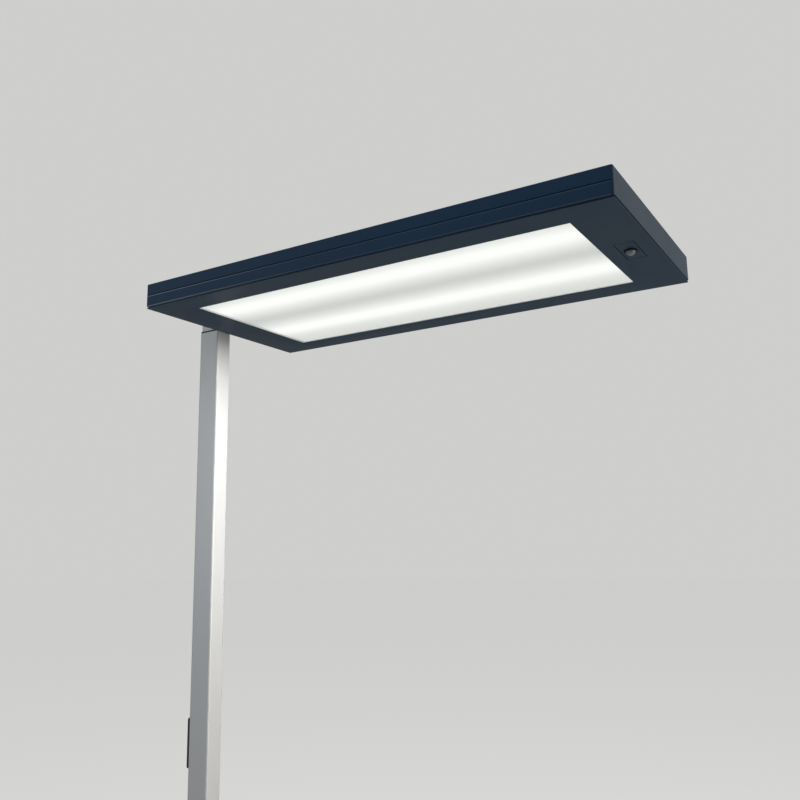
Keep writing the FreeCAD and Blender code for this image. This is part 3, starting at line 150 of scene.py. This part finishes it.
def paleFloor():
    # as the camera sees it the floor joins the backdrop, and still takes the lamp's shadow
    bpy.ops.object.select_all(action="DESELECT")
    bpy.ops.mesh.primitive_plane_add(size=room["floorSize"], location=(0, 0, 0))
    floor = bpy.context.object
    floor.name = "studioFloor"
    mat, tree, shader = newMaterial("paleFloor")
    seen = addNode(tree, "ShaderNodeLightPath").outputs["Is Camera Ray"]
    tree.links.new(mathNode(tree, "MULTIPLY", seen, room["floorLift"]), shader.inputs["Emission Strength"])
    color = mixColors(tree, seen, (*room["floorColor"], 1), (*room["floorSeen"], 1))
    tree.links.new(color, shader.inputs["Base Color"])
    setInputs(shader, {"Emission Color": (*room["backdrop"], 1), "Roughness": room["floorRough"],
                       "Specular IOR Level": 0.0})
    floor.data.materials.append(mat)


def plainWorld():
    # a dim even sky lights the object, the camera and glass see the pale backdrop, and mirrors a darker one
    world = bpy.data.worlds.new("studioWorld")
    scene.world = world
    world.use_nodes = True
    tree = world.node_tree
    tree.nodes.clear()
    rays = addNode(tree, "ShaderNodeLightPath").outputs
    through = mathNode(tree, "MAXIMUM", rays["Is Camera Ray"], rays["Is Transmission Ray"])
    color = mixColors(tree, through, (*room["mirrored"], 1), (*room["backdrop"], 1))
    seen = mathNode(tree, "MAXIMUM", through, rays["Is Glossy Ray"])
    sky = {"Color": (*room["ambientColor"], 1), "Strength": room["ambient"]}
    ambient = addNode(tree, "ShaderNodeBackground", sky)
    pale = addNode(tree, "ShaderNodeBackground", {"Color": color, "Strength": 1.0})
    both = addNode(tree, "ShaderNodeMixShader", {"Fac": seen, 1: ambient.outputs[0], 2: pale.outputs[0]})
    addNode(tree, "ShaderNodeOutputWorld", {"Surface": both.outputs[0]})


def softLight(name, light):
    bpy.ops.object.light_add(type="AREA", location=light["place"])
    lamp = bpy.context.object
    lamp.name = name
    lamp.data.shape = "RECTANGLE"
    lamp.data.size, lamp.data.size_y = light["size"]
    lamp.data.energy = light["power"]
    lamp.data.color = light["color"]
    toTarget = Vector(light["target"]) - Vector(light["place"])
    lamp.rotation_euler = toTarget.to_track_quat("-Z", "Y").to_euler()
    lamp.visible_camera = False
    lamp.visible_glossy = light.get("glossy", True)


paleFloor()
plainWorld()
glowDrop = 0.012  # from the panel down to the light under it
panelLow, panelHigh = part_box("diffuser_panel")
panelX = (panelLow[0] + panelHigh[0]) / 2
panelY = (panelLow[1] + panelHigh[1]) / 2
lights = {
    "keySide": {"place": (3.4, 0.9, 1.7), "target": (0, 0, 1.5), "size": (2.2, 2.2), "power": 50.0,
                "color": (1.0, 0.955, 0.865)},
    "overhead": {"place": (0.2, 0.2, 7.0), "target": (0, 0, 1.0), "size": (5.0, 5.0), "power": 200.0,
                 "color": (1.0, 1.0, 1.0)},
    "fillNear": {"place": (-2.2, -3.2, 2.0), "target": (0, 0, 1.4), "size": (2.4, 2.4), "power": 10.0,
                 "color": (0.72, 0.86, 1.0)},
    # what the head throws down through its window
    "lampGlow": {"place": (panelX, panelY, panelLow[2] - glowDrop), "target": (panelX, panelY, 0),
                 "size": (0.25, 0.58), "power": 10.0, "color": (1.0, 0.985, 0.955), "glossy": False},
}
for name, light in lights.items():
    softLight(name, light)
print("camera, room and lights set:", len(lights), "lights")


# coats, metals and plastics: drift, grain and other pattern sizes are in cells to the metre, depth in metres

usual = {"spread": 0.06, "bump": 0.2, "depth": 0.00006, "metal": 0.0, "specular": 0.5}
looks = {
    "darkCoat": {"color": (0.0095, 0.031, 0.06), "rough": (0.34, 0.43), "drift": 6.0, "spread": 0.07,
                 "grain": 700.0, "bump": 0.16, "depth": 0.00003, "specular": 0.2, "dust": 0.04},
    "silverCoat": {"color": (0.55, 0.555, 0.56), "rough": (0.38, 0.46), "drift": 5.0, "spread": 0.025,
                   "grain": 900.0, "bump": 0.14, "depth": 0.00003, "metal": 0.45, "flake": 0.05,
                   "dust": 0.03},
    "plateCoat": {"color": (0.5, 0.505, 0.51), "rough": (0.36, 0.52), "drift": 4.0, "spread": 0.04,
                  "grain": 800.0, "bump": 0.2, "depth": 0.00004, "metal": 0.4, "flake": 0.05, "dust": 0.1},
    "blackPlastic": {"color": (0.011, 0.011, 0.012), "rough": (0.42, 0.58), "drift": 40.0, "grain": 1700.0,
                     "bump": 0.35, "dust": 0.02},
    "keyPlastic": {"color": (0.055, 0.057, 0.06), "rough": (0.46, 0.6), "drift": 60.0, "grain": 2200.0,
                   "bump": 0.3},
    "blackRubber": {"color": (0.014, 0.014, 0.014), "rough": (0.72, 0.9), "drift": 30.0, "grain": 900.0,
                    "bump": 0.4, "dust": 0.03},
    "zincPlate": {"color": (0.62, 0.64, 0.67), "rough": (0.24, 0.42), "drift": 90.0, "spread": 0.12,
                  "grain": 1200.0, "metal": 1.0},
    "blackSteel": {"color": (0.03, 0.03, 0.032), "rough": (0.34, 0.5), "drift": 120.0, "spread": 0.2,
                   "grain": 1500.0, "metal": 0.8},
    "whiteEnamel": {"color": (0.82, 0.82, 0.8), "rough": (0.26, 0.38), "drift": 12.0, "spread": 0.02,
                    "grain": 700.0, "bump": 0.14, "dust": 0.03},
    "palePlastic": {"color": (0.76, 0.76, 0.73), "rough": (0.36, 0.5), "drift": 45.0, "spread": 0.03,
                    "grain": 1800.0},
    "terminalPlastic": {"color": (0.58, 0.58, 0.55), "rough": (0.38, 0.55), "drift": 60.0, "grain": 2000.0},
    "brassPin": {"color": (0.72, 0.52, 0.2), "rough": (0.22, 0.38), "drift": 200.0, "spread": 0.15,
                 "grain": 2200.0, "metal": 1.0},
    "ballastCoat": {"color": (0.7, 0.7, 0.68), "rough": (0.38, 0.5), "drift": 10.0, "spread": 0.03,
                    "grain": 1200.0, "bump": 0.16, "dust": 0.04},
    "leadSheath": {"color": (0.42, 0.42, 0.41), "rough": (0.48, 0.62), "drift": 60.0, "grain": 1500.0},
    "darkWindow": {"color": (0.005, 0.005, 0.006), "rough": (0.12, 0.2), "drift": 150.0, "grain": 1500.0,
                   "bump": 0.05, "specular": 0.3},
    "keyPrint": {"color": (0.74, 0.74, 0.72), "rough": (0.45, 0.6), "drift": 80.0, "spread": 0.04,
                 "grain": 2600.0, "bump": 0.15},
    "gapBlack": {"color": (0.003, 0.003, 0.003), "rough": (0.8, 0.95), "drift": 60.0, "grain": 1200.0,
                 "specular": 0.05},
}
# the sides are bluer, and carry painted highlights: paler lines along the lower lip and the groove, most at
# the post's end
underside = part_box("bottom_frame")[0][2]
# their bluer colour is a painted cool reflection, on a copy of the head's dark coat
looks["profileCoatPaintedReflection"] = {**looks["darkCoat"], "color": (0.0095, 0.041, 0.092), "paintedHighlight": {
    "heights": (underside + 0.0033, underside + 0.0187), "half": 0.0009, "from": (-0.28, 0.0),
    "strength": (0.9, 0.16), "pale": (0.26, 0.3, 0.34)}}
# the edges of the sheets beside the sensor are painted dark inside the gap: painted shade in the slot
faceLow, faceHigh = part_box("sensor_face")
looks["sheetCoat"] = {**looks["darkCoat"], "gap": {
    "heights": (underside + 0.0001, underside + 0.0003), "middle": (faceLow[0] + faceHigh[0]) / 2,
    "reach": (0.02, 0.021), "dark": (0.0015, 0.0015, 0.0015)}}
drifting = {"detail": 4.0, "ends": (0.3, 0.7)}  # where the noise turns from its lowest to its highest
dusting = {"color": (0.5, 0.49, 0.46, 1), "patch": 38.0, "detail": 6.0, "ends": (0.38, 0.7), "thin": 0.25,
           "tilt": (0.6, 1.0)}
flakeSize = 3000.0


# paints pale highlight lines at the given heights, strongest toward the post's end
def paintedEdgeHighlights(tree, place, color, highlightLines):
    axes = axesOf(tree, place)
    along = remap(tree, axes["X"], *highlightLines["from"], *highlightLines["strength"])
    for height in highlightLines["heights"]:
        off = mathNode(tree, "ABSOLUTE", mathNode(tree, "SUBTRACT", axes["Z"], height))
        near = remap(tree, off, highlightLines["half"] / 2, highlightLines["half"], 1.0, 0.0)
        color = mixColors(tree, mathNode(tree, "MULTIPLY", near, along), color, (*highlightLines["pale"], 1))
    return color


# paints shade on the sheet edges that rise inside the slot round the sensor
def paintedSlotShade(tree, place, color, gap):
    axes = axesOf(tree, place)
    deep = remap(tree, axes["Z"], *gap["heights"], 0.0, 1.0)
    off = mathNode(tree, "ABSOLUTE", mathNode(tree, "SUBTRACT", axes["X"], gap["middle"]))
    near = remap(tree, off, *gap["reach"], 1.0, 0.0)
    return mixColors(tree, mathNode(tree, "MULTIPLY", deep, near), color, (*gap["dark"], 1))


def dustVeil(tree, place, color, amount):
    # thin and patchy, on what faces up
    patches = noise(tree, place, dusting["patch"], dusting["detail"])
    patches = remap(tree, patches, *dusting["ends"], dusting["thin"], 1.0)
    flat = remap(tree, facingUp(tree), *dusting["tilt"], 0.0, amount)
    return mixColors(tree, mathNode(tree, "MULTIPLY", flat, patches), color, dusting["color"])


def finish(name, own):
    look = {**usual, **own}
    mat, tree, shader = newMaterial(name)
    place = objectPlace(tree)
    drift = noise(tree, place, look["drift"], drifting["detail"])
    shades = [shade(look["color"], 1 - look["spread"]), shade(look["color"], 1 + look["spread"])]
    color = rampBetween(tree, drift, list(zip(drifting["ends"], shades)))
    if "flake" in look:
        # flakes of metal in the paint, each a little lighter or darker
        grey = cellGrey(tree, place, flakeSize)
        sparkle = rampBetween(tree, grey, [(0.0, [1 - look["flake"]] * 3), (1.0, [1.0] * 3)])
        color = mixColors(tree, 1.0, color, sparkle, "MULTIPLY")
    # painted highlight lines along the sides' lower lip and groove
    if "paintedHighlight" in look:
        color = paintedEdgeHighlights(tree, place, color, look["paintedHighlight"])
    # painted shade inside the sensor's slot
    if "gap" in look:
        color = paintedSlotShade(tree, place, color, look["gap"])
    if "dust" in look:
        color = dustVeil(tree, place, color, look["dust"])
    tree.links.new(color, shader.inputs["Base Color"])
    tree.links.new(remap(tree, drift, *drifting["ends"], *look["rough"]), shader.inputs["Roughness"])
    bumpFrom(tree, shader, noise(tree, place, look["grain"]), look["bump"], look["depth"])
    setInputs(shader, {"Metallic": look["metal"], "Specular IOR Level": look["specular"]})
    return mat


mats = {name: finish(name, look) for name, look in looks.items()}
print("coats, metals and plastics made:", len(mats))


def galvanisedSheet():
    look = {"spangle": 160.0, "dark": (0.36, 0.37, 0.38), "light": (0.62, 0.63, 0.64), "rough": (0.3, 0.5)}
    mat, tree, shader = newMaterial("galvanisedSheet")
    grey = cellGrey(tree, objectPlace(tree), look["spangle"])
    color = rampBetween(tree, grey, [(0.0, look["dark"]), (1.0, look["light"])])
    tree.links.new(color, shader.inputs["Base Color"])
    tree.links.new(remap(tree, grey, 0.0, 1.0, *look["rough"]), shader.inputs["Roughness"])
    setInputs(shader, {"Metallic": 1.0})
    return mat


def circuitBoard():
    look = {"mask": (0.012, 0.09, 0.03, 1), "track": (0.03, 0.16, 0.06, 1), "pitch": 420.0, "gap": 0.03,
            "rough": 0.35}
    mat, tree, shader = newMaterial("circuitBoard")
    pattern = {"Vector": objectPlace(tree), "Scale": look["pitch"], "Mortar Size": look["gap"],
               "Color1": look["mask"], "Color2": look["mask"], "Mortar": look["track"]}
    tracks = addNode(tree, "ShaderNodeTexBrick", pattern)
    tree.links.new(tracks.outputs["Color"], shader.inputs["Base Color"])
    setInputs(shader, {"Roughness": look["rough"]})
    return mat


mats["galvanisedSheet"] = galvanisedSheet()
mats["circuitBoard"] = circuitBoard()

# light: the lamps, the sheet under them whose glow paints their light in bands, and the satin panel in the
# window with a painted glow of its own
glow = {
    # distance from the middle of the head in metres, and brightness there
    "bands": [(0.0, 0.56), (0.018, 0.63), (0.045, 0.93), (0.0655, 1.12), (0.085, 0.99), (0.1, 0.81),
              (0.115, 0.74), (0.151, 0.73)],
    "tint": (0.97, 1.0, 0.955),
    "peak": 1.2,
    # the sheet's upper side, seen from above, is dimmer than the side over the window
    "upward": 0.2,
    "turnOver": 0.1,
    "sheet": (0.12, 0.12, 0.12, 1),
    "lampTint": (1.0, 0.98, 0.94),
    "lampStrength": 0.75,
}


def glowingSheet():
    # the sheet is no lamp: its bands are painted light of the lamps above it
    mat, tree, shader = newMaterial("lightSheet")
    across = axesOf(tree, objectPlace(tree))["Y"]
    reach = glow["bands"][-1][0]
    part = mathNode(tree, "DIVIDE", mathNode(tree, "ABSOLUTE", across), reach)
    stops = [(at / reach, shade(glow["tint"], level / glow["peak"])) for at, level in glow["bands"]]
    tree.links.new(rampBetween(tree, part, stops, "B_SPLINE"), shader.inputs["Emission Color"])
    above = glow["peak"] * glow["upward"]
    strength = remap(tree, facingUp(tree), -glow["turnOver"], glow["turnOver"], glow["peak"], above)
    tree.links.new(strength, shader.inputs["Emission Strength"])
    setInputs(shader, {"Base Color": glow["sheet"]})
    return mat


def satinPanel():
    look = {"color": (0.5, 0.5, 0.5, 1), "cover": 0.12, "rough": 0.45, "glow": 0.26, "grain": 1500.0,
            "detail": 2.0, "bump": 0.2, "depth": 0.00005}
    # the panel's own glow is painted light of the lamps behind it
    mat, tree, shader = newMaterial("satinPanel")
    grain = noise(tree, objectPlace(tree), look["grain"], look["detail"])
    bumpFrom(tree, shader, grain, look["bump"], look["depth"])
    setInputs(shader, {"Base Color": look["color"], "Roughness": look["rough"], "Alpha": look["cover"],
                       "Emission Color": (*glow["tint"], 1), "Emission Strength": look["glow"]})
    return mat


def lampGlass():
    look = {"thin": (0.86, 0.87, 0.86), "thick": (0.92, 0.93, 0.92), "powder": 30.0, "rough": 0.12,
            "coat": 0.6, "coatRough": 0.03}
    mat, tree, shader = newMaterial("lampGlass")
    powder = noise(tree, objectPlace(tree), look["powder"])
    color = rampBetween(tree, powder, list(zip(drifting["ends"], (look["thin"], look["thick"]))))
    tree.links.new(color, shader.inputs["Base Color"])
    setInputs(shader, {"Roughness": look["rough"], "Coat Weight": look["coat"],
                       "Coat Roughness": look["coatRough"], "Emission Color": (*glow["lampTint"], 1),
                       "Emission Strength": glow["lampStrength"]})
    return mat


def clearAcrylic():
    look = {"color": (0.86, 0.9, 0.9, 1), "cover": 0.16, "ior": 1.49, "dust": 14.0, "detail": 6.0,
            "ends": (0.35, 0.7), "rough": (0.06, 0.15)}
    mat, tree, shader = newMaterial("clearAcrylic")
    dust = noise(tree, objectPlace(tree), look["dust"], look["detail"])
    tree.links.new(remap(tree, dust, *look["ends"], *look["rough"]), shader.inputs["Roughness"])
    setInputs(shader, {"Base Color": look["color"], "Alpha": look["cover"], "IOR": look["ior"]})
    return mat


mats["lightSheet"] = glowingSheet()
mats["satinPanel"] = satinPanel()
mats["lampGlass"] = lampGlass()
mats["clearAcrylic"] = clearAcrylic()
print("patterned and lit finishes made, finishes in all:", len(mats))

finishes = {
    "darkCoat": ["end_cap_post", "end_cap_sensor"],
    "profileCoatPaintedReflection": ["side_profile_near", "side_profile_far"],
    "sheetCoat": ["bottom_frame", "sensor_face"],
    "silverCoat": ["post_tube", "head_bracket", "bracket_lid"],
    "plateCoat": ["base_plate"],
    "blackPlastic": ["control_bezel", "post_top_shim", "sensor_box", "lens_collar"],
    "keyPlastic": ["button_brighter", "button_power", "button_dimmer", "control_switches", "status_light"],
    "blackRubber": ["base_glides", "inlet_grommet"],
    "zincPlate": ["post_foot", "base_screws", "frame_nuts", "tray_nuts", "ballast_screws", "sensor_element"],
    "blackSteel": ["clamp_screws", "arm_screws"],
    "whiteEnamel": ["spacer_frame", "gear_tray", "side_reflector_near", "side_reflector_far"],
    "palePlastic": ["lampholders", "lamp_bases", "lamp_clips", "sensor_lens"],
    "terminalPlastic": ["terminal_block", "inlet_terminal"],
    "brassPin": ["lamp_pins"],
    "ballastCoat": ["ballast"],
    "leadSheath": ["supply_lead", "control_lead", "ballast_leads", "lamp_leads", "sensor_lead"],
    "darkWindow": ["light_cell"],
    "galvanisedSheet": ["corner_cleats", "sheet_clips"],
    "circuitBoard": ["control_board", "sensor_board"],
    "lightSheet": ["light_sheet"],
    "satinPanel": ["diffuser_panel"],
    "lampGlass": ["lamp_near", "lamp_far"],
    "clearAcrylic": ["top_cover"],
}
for name, dressed in finishes.items():
    for node in dressed:
        nodes[node].data.materials.clear()
        nodes[node].data.materials.append(mats[name])
left = set(nodes) - {node for dressed in finishes.values() for node in dressed}
print("CAD pieces dressed, left plain:", sorted(left))

# small round edges, as a coat, a bend or a mould leaves them
edges = {
    "radius": 0.0003, "segments": 2, "merge": 0.00001, "flat": 0.5, "sharp": 40.0,
    "nodes": ["side_profile_near", "side_profile_far", "end_cap_post", "end_cap_sensor", "bottom_frame",
              "head_bracket", "bracket_lid", "control_bezel", "top_cover", "base_plate"],
}
for name in edges["nodes"]:
    node = nodes[name]
    weld = node.modifiers.new("weld", "WELD")
    weld.merge_threshold = edges["merge"]
    flat = node.modifiers.new("flat", "DECIMATE")
    flat.decimate_type = "DISSOLVE"
    flat.angle_limit = radians(edges["flat"])
    bevel = node.modifiers.new("edge", "BEVEL")
    bevel.width = edges["radius"]
    bevel.segments = edges["segments"]
    bevel.limit_method = "ANGLE"
    bevel.angle_limit = radians(edges["sharp"])
    bevel.harden_normals = True
print("edges softened on", len(edges["nodes"]), "pieces")


# new pieces, modelled in edit mode and placed in their own mesh

making = {"merge": 0.000001, "facing": 0.9, "smooth": 35.0}  # metres, part of a normal, degrees


def closeMesh(piece):
    bpy.ops.object.mode_set(mode="EDIT")
    bpy.ops.mesh.select_all(action="SELECT")
    bpy.ops.mesh.remove_doubles(threshold=making["merge"])
    bpy.ops.mesh.normals_make_consistent(inside=False)
    bpy.ops.object.mode_set(mode="OBJECT")
    bpy.ops.object.transform_apply(location=True, rotation=True, scale=True)


def turnedPiece(name, axis, profile, sides, fill):
    # rings drawn out one after another along the profile: radius, and height above the axis's point
    bpy.ops.object.select_all(action="DESELECT")
    radius, height = profile[0]
    bpy.ops.mesh.primitive_circle_add(vertices=sides, radius=radius, fill_type=fill,
                                      location=(axis[0], axis[1], axis[2] + height))
    piece = bpy.context.object
    piece.name = name
    bpy.ops.object.mode_set(mode="EDIT")
    bpy.ops.mesh.select_all(action="SELECT")
    for (oldRadius, oldHeight), (radius, height) in zip(profile, profile[1:]):
        bpy.ops.mesh.extrude_region_move(TRANSFORM_OT_translate={"value": (0, 0, height - oldHeight)})
        grow = radius / oldRadius
        middle = (axis[0], axis[1], axis[2] + height)
        bpy.ops.transform.resize(value=(grow, grow, 1), center_override=middle)
    bpy.ops.object.mode_set(mode="OBJECT")
    closeMesh(piece)
    bpy.ops.object.shade_smooth_by_angle(angle=radians(making["smooth"]))
    return piece


# the sensor's lens is a half ball on the face, and its flange lies on the face's back
lens = {"ball": 0.0064, "flange": 0.0095, "skirt": 0.0025, "lip": 0.0012, "rings": 12, "sides": 64}
lensLow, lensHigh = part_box("sensor_lens")
lensAxis = ((lensLow[0] + lensHigh[0]) / 2, (lensLow[1] + lensHigh[1]) / 2, faceLow[2])


def sensorLens():
    look = {"pale": (0.2, 0.215, 0.23), "dark": (0.1, 0.115, 0.13), "darkFrom": 0.9, "rough": 0.38,
            "ribs": 1500.0, "bump": 0.3, "depth": 0.00008}
    mat, tree, shader = newMaterial("sensorLens")
    inputs = {0: objectPlace(tree), 1: lensAxis}
    place = addNode(tree, "ShaderNodeVectorMath", inputs, operation="SUBTRACT").outputs[0]
    height = axesOf(tree, place)["Z"]
    # painted shading: the dome is paler at its tip and darker toward its base at the ring
    domeShade = remap(tree, height, -lens["ball"], 0.0, 0.0, 1.0)
    color = rampBetween(tree, domeShade, [(0.0, look["pale"]), (look["darkFrom"], look["dark"])])
    tree.links.new(color, shader.inputs["Base Color"])
    ribs = mathNode(tree, "SINE", mathNode(tree, "MULTIPLY", height, look["ribs"] * 2 * pi))
    bumpFrom(tree, shader, ribs, look["bump"], look["depth"])
    setInputs(shader, {"Roughness": look["rough"]})
    return mat


mats["sensorLens"] = sensorLens()
quarter = [(step + 1) / lens["rings"] * pi / 2 for step in range(lens["rings"] - 1)]
profile = [(lens["flange"], lens["skirt"] + lens["lip"]), (lens["flange"], lens["skirt"]),
           (lens["ball"], lens["skirt"]), (lens["ball"], 0.0)]
profile += [(lens["ball"] * cos(turn), -lens["ball"] * sin(turn)) for turn in quarter]
dome = turnedPiece("sensor_dome", lensAxis, profile, lens["sides"], "NGON")
dome.data.materials.append(mats["sensorLens"])
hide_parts("sensor_lens")
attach(dome, "lamp")

# a narrow black ring round it, with a flange in the head's colour that fills the seat
ring = {"inner": 0.0066, "outer": 0.0079, "rise": 0.0012, "edge": 0.0003, "seat": 0.01015, "seatDeep": 0.0015,
        "sides": 64}
inner, outer, rise, edge = ring["inner"], ring["outer"], ring["rise"], ring["edge"]
seat, seatDeep = ring["seat"], ring["seatDeep"]
profile = [(inner, seatDeep), (inner, edge - rise), (inner + edge, -rise), (outer - edge, -rise),
           (outer, edge - rise), (outer, 0.0), (seat, 0.0), (seat, seatDeep), (inner, seatDeep)]
collar = turnedPiece("lens_ring", lensAxis, profile, ring["sides"], "NOTHING")
collar.data.materials.append(mats["gapBlack"])
collar.data.materials.append(mats["darkCoat"])
for face in collar.data.polygons:
    flush = abs(face.center.z - lensAxis[2]) < edge / 2 and abs(face.normal.z) > making["facing"]
    face.material_index = 1 if flush else 0
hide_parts("lens_collar")
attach(collar, "lamp")
print("sensor lens and ring made")


# printed signs on the three keys: plus, power and minus

sign = {"long": 0.0066, "line": 0.0011, "thick": 0.00025, "sunk": 0.0001}
# the power sign's bar is placed and sized in radii of its hoop
power = {"radius": 0.0028, "gap": 70.0, "steps": 28, "barHigh": 0.8, "barLong": 1.3}


def signPlace(button):
    low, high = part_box(button)
    return low[0] + sign["sunk"] - sign["thick"] / 2, (low[1] + high[1]) / 2, (low[2] + high[2]) / 2


def signBar(place, size):
    bpy.ops.object.select_all(action="DESELECT")
    bpy.ops.mesh.primitive_cube_add(size=1, location=place)
    bar = bpy.context.object
    bar.scale = size
    bpy.ops.object.transform_apply(location=True, rotation=False, scale=True)
    return bar


def drawOutFace(piece, place, axis, way, length):
    # pulls out the middle one of the faces that look along the axis
    bpy.ops.object.mode_set(mode="EDIT")
    bpy.ops.mesh.select_mode(type="FACE")
    bpy.ops.mesh.select_all(action="DESELECT")
    bpy.ops.object.mode_set(mode="OBJECT")
    across = 3 - axis  # of axes 1 and 2, the other one
    looking = [face for face in piece.data.polygons if face.normal[axis] * way > making["facing"]]
    middle = min(looking, key=lambda face: abs(face.center[across] - place[across]))
    middle.select = True
    bpy.ops.object.mode_set(mode="EDIT")
    step = [0, 0, 0]
    step[axis] = way * length
    bpy.ops.mesh.extrude_region_move(TRANSFORM_OT_translate={"value": step})
    bpy.ops.object.mode_set(mode="OBJECT")


def finishSign(piece, name, body):
    closeMesh(piece)
    piece.name = name
    piece.data.materials.append(mats["keyPrint"])
    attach(piece, body)


arm = (sign["long"] - sign["line"]) / 2
for button, name, body, axes in (("button_brighter", "sign_plus", "brighter_key", (1, 2)),
                                 ("button_dimmer", "sign_minus", "dimmer_key", (1,))):
    place = signPlace(button)
    bar = signBar(place, (sign["thick"], sign["line"], sign["line"]))
    for axis in axes:
        drawOutFace(bar, place, axis, -1, arm)
        drawOutFace(bar, place, axis, 1, arm)
    finishSign(bar, name, body)

# a hoop spun round the key's middle and turned so that its gap is on top, and a bar in the gap
place = signPlace("button_power")
x, y, z = place
bpy.ops.object.select_all(action="DESELECT")
bpy.ops.mesh.primitive_plane_add(size=1, location=(x, y + power["radius"], z))
hoop = bpy.context.object
hoop.scale = (sign["thick"], sign["line"], 1)
bpy.ops.object.transform_apply(location=True, rotation=False, scale=True)
bpy.ops.object.mode_set(mode="EDIT")
bpy.ops.mesh.select_all(action="SELECT")
bpy.ops.mesh.spin(steps=power["steps"], angle=radians(360 - power["gap"]), center=place, axis=(-1, 0, 0))
bpy.ops.mesh.select_all(action="SELECT")
bpy.ops.transform.rotate(value=radians(-90 - power["gap"] / 2), orient_axis="X", center_override=place)
bpy.ops.object.mode_set(mode="OBJECT")
barSize = (sign["thick"], sign["line"], power["radius"] * power["barLong"])
bar = signBar((x, y, z + power["radius"] * power["barHigh"]), barSize)
bpy.ops.object.select_all(action="DESELECT")
bar.select_set(True)
hoop.select_set(True)
bpy.context.view_layer.objects.active = hoop
bpy.ops.object.join()
finishSign(hoop, "sign_power", "power_key")
print("signs on the keys made")
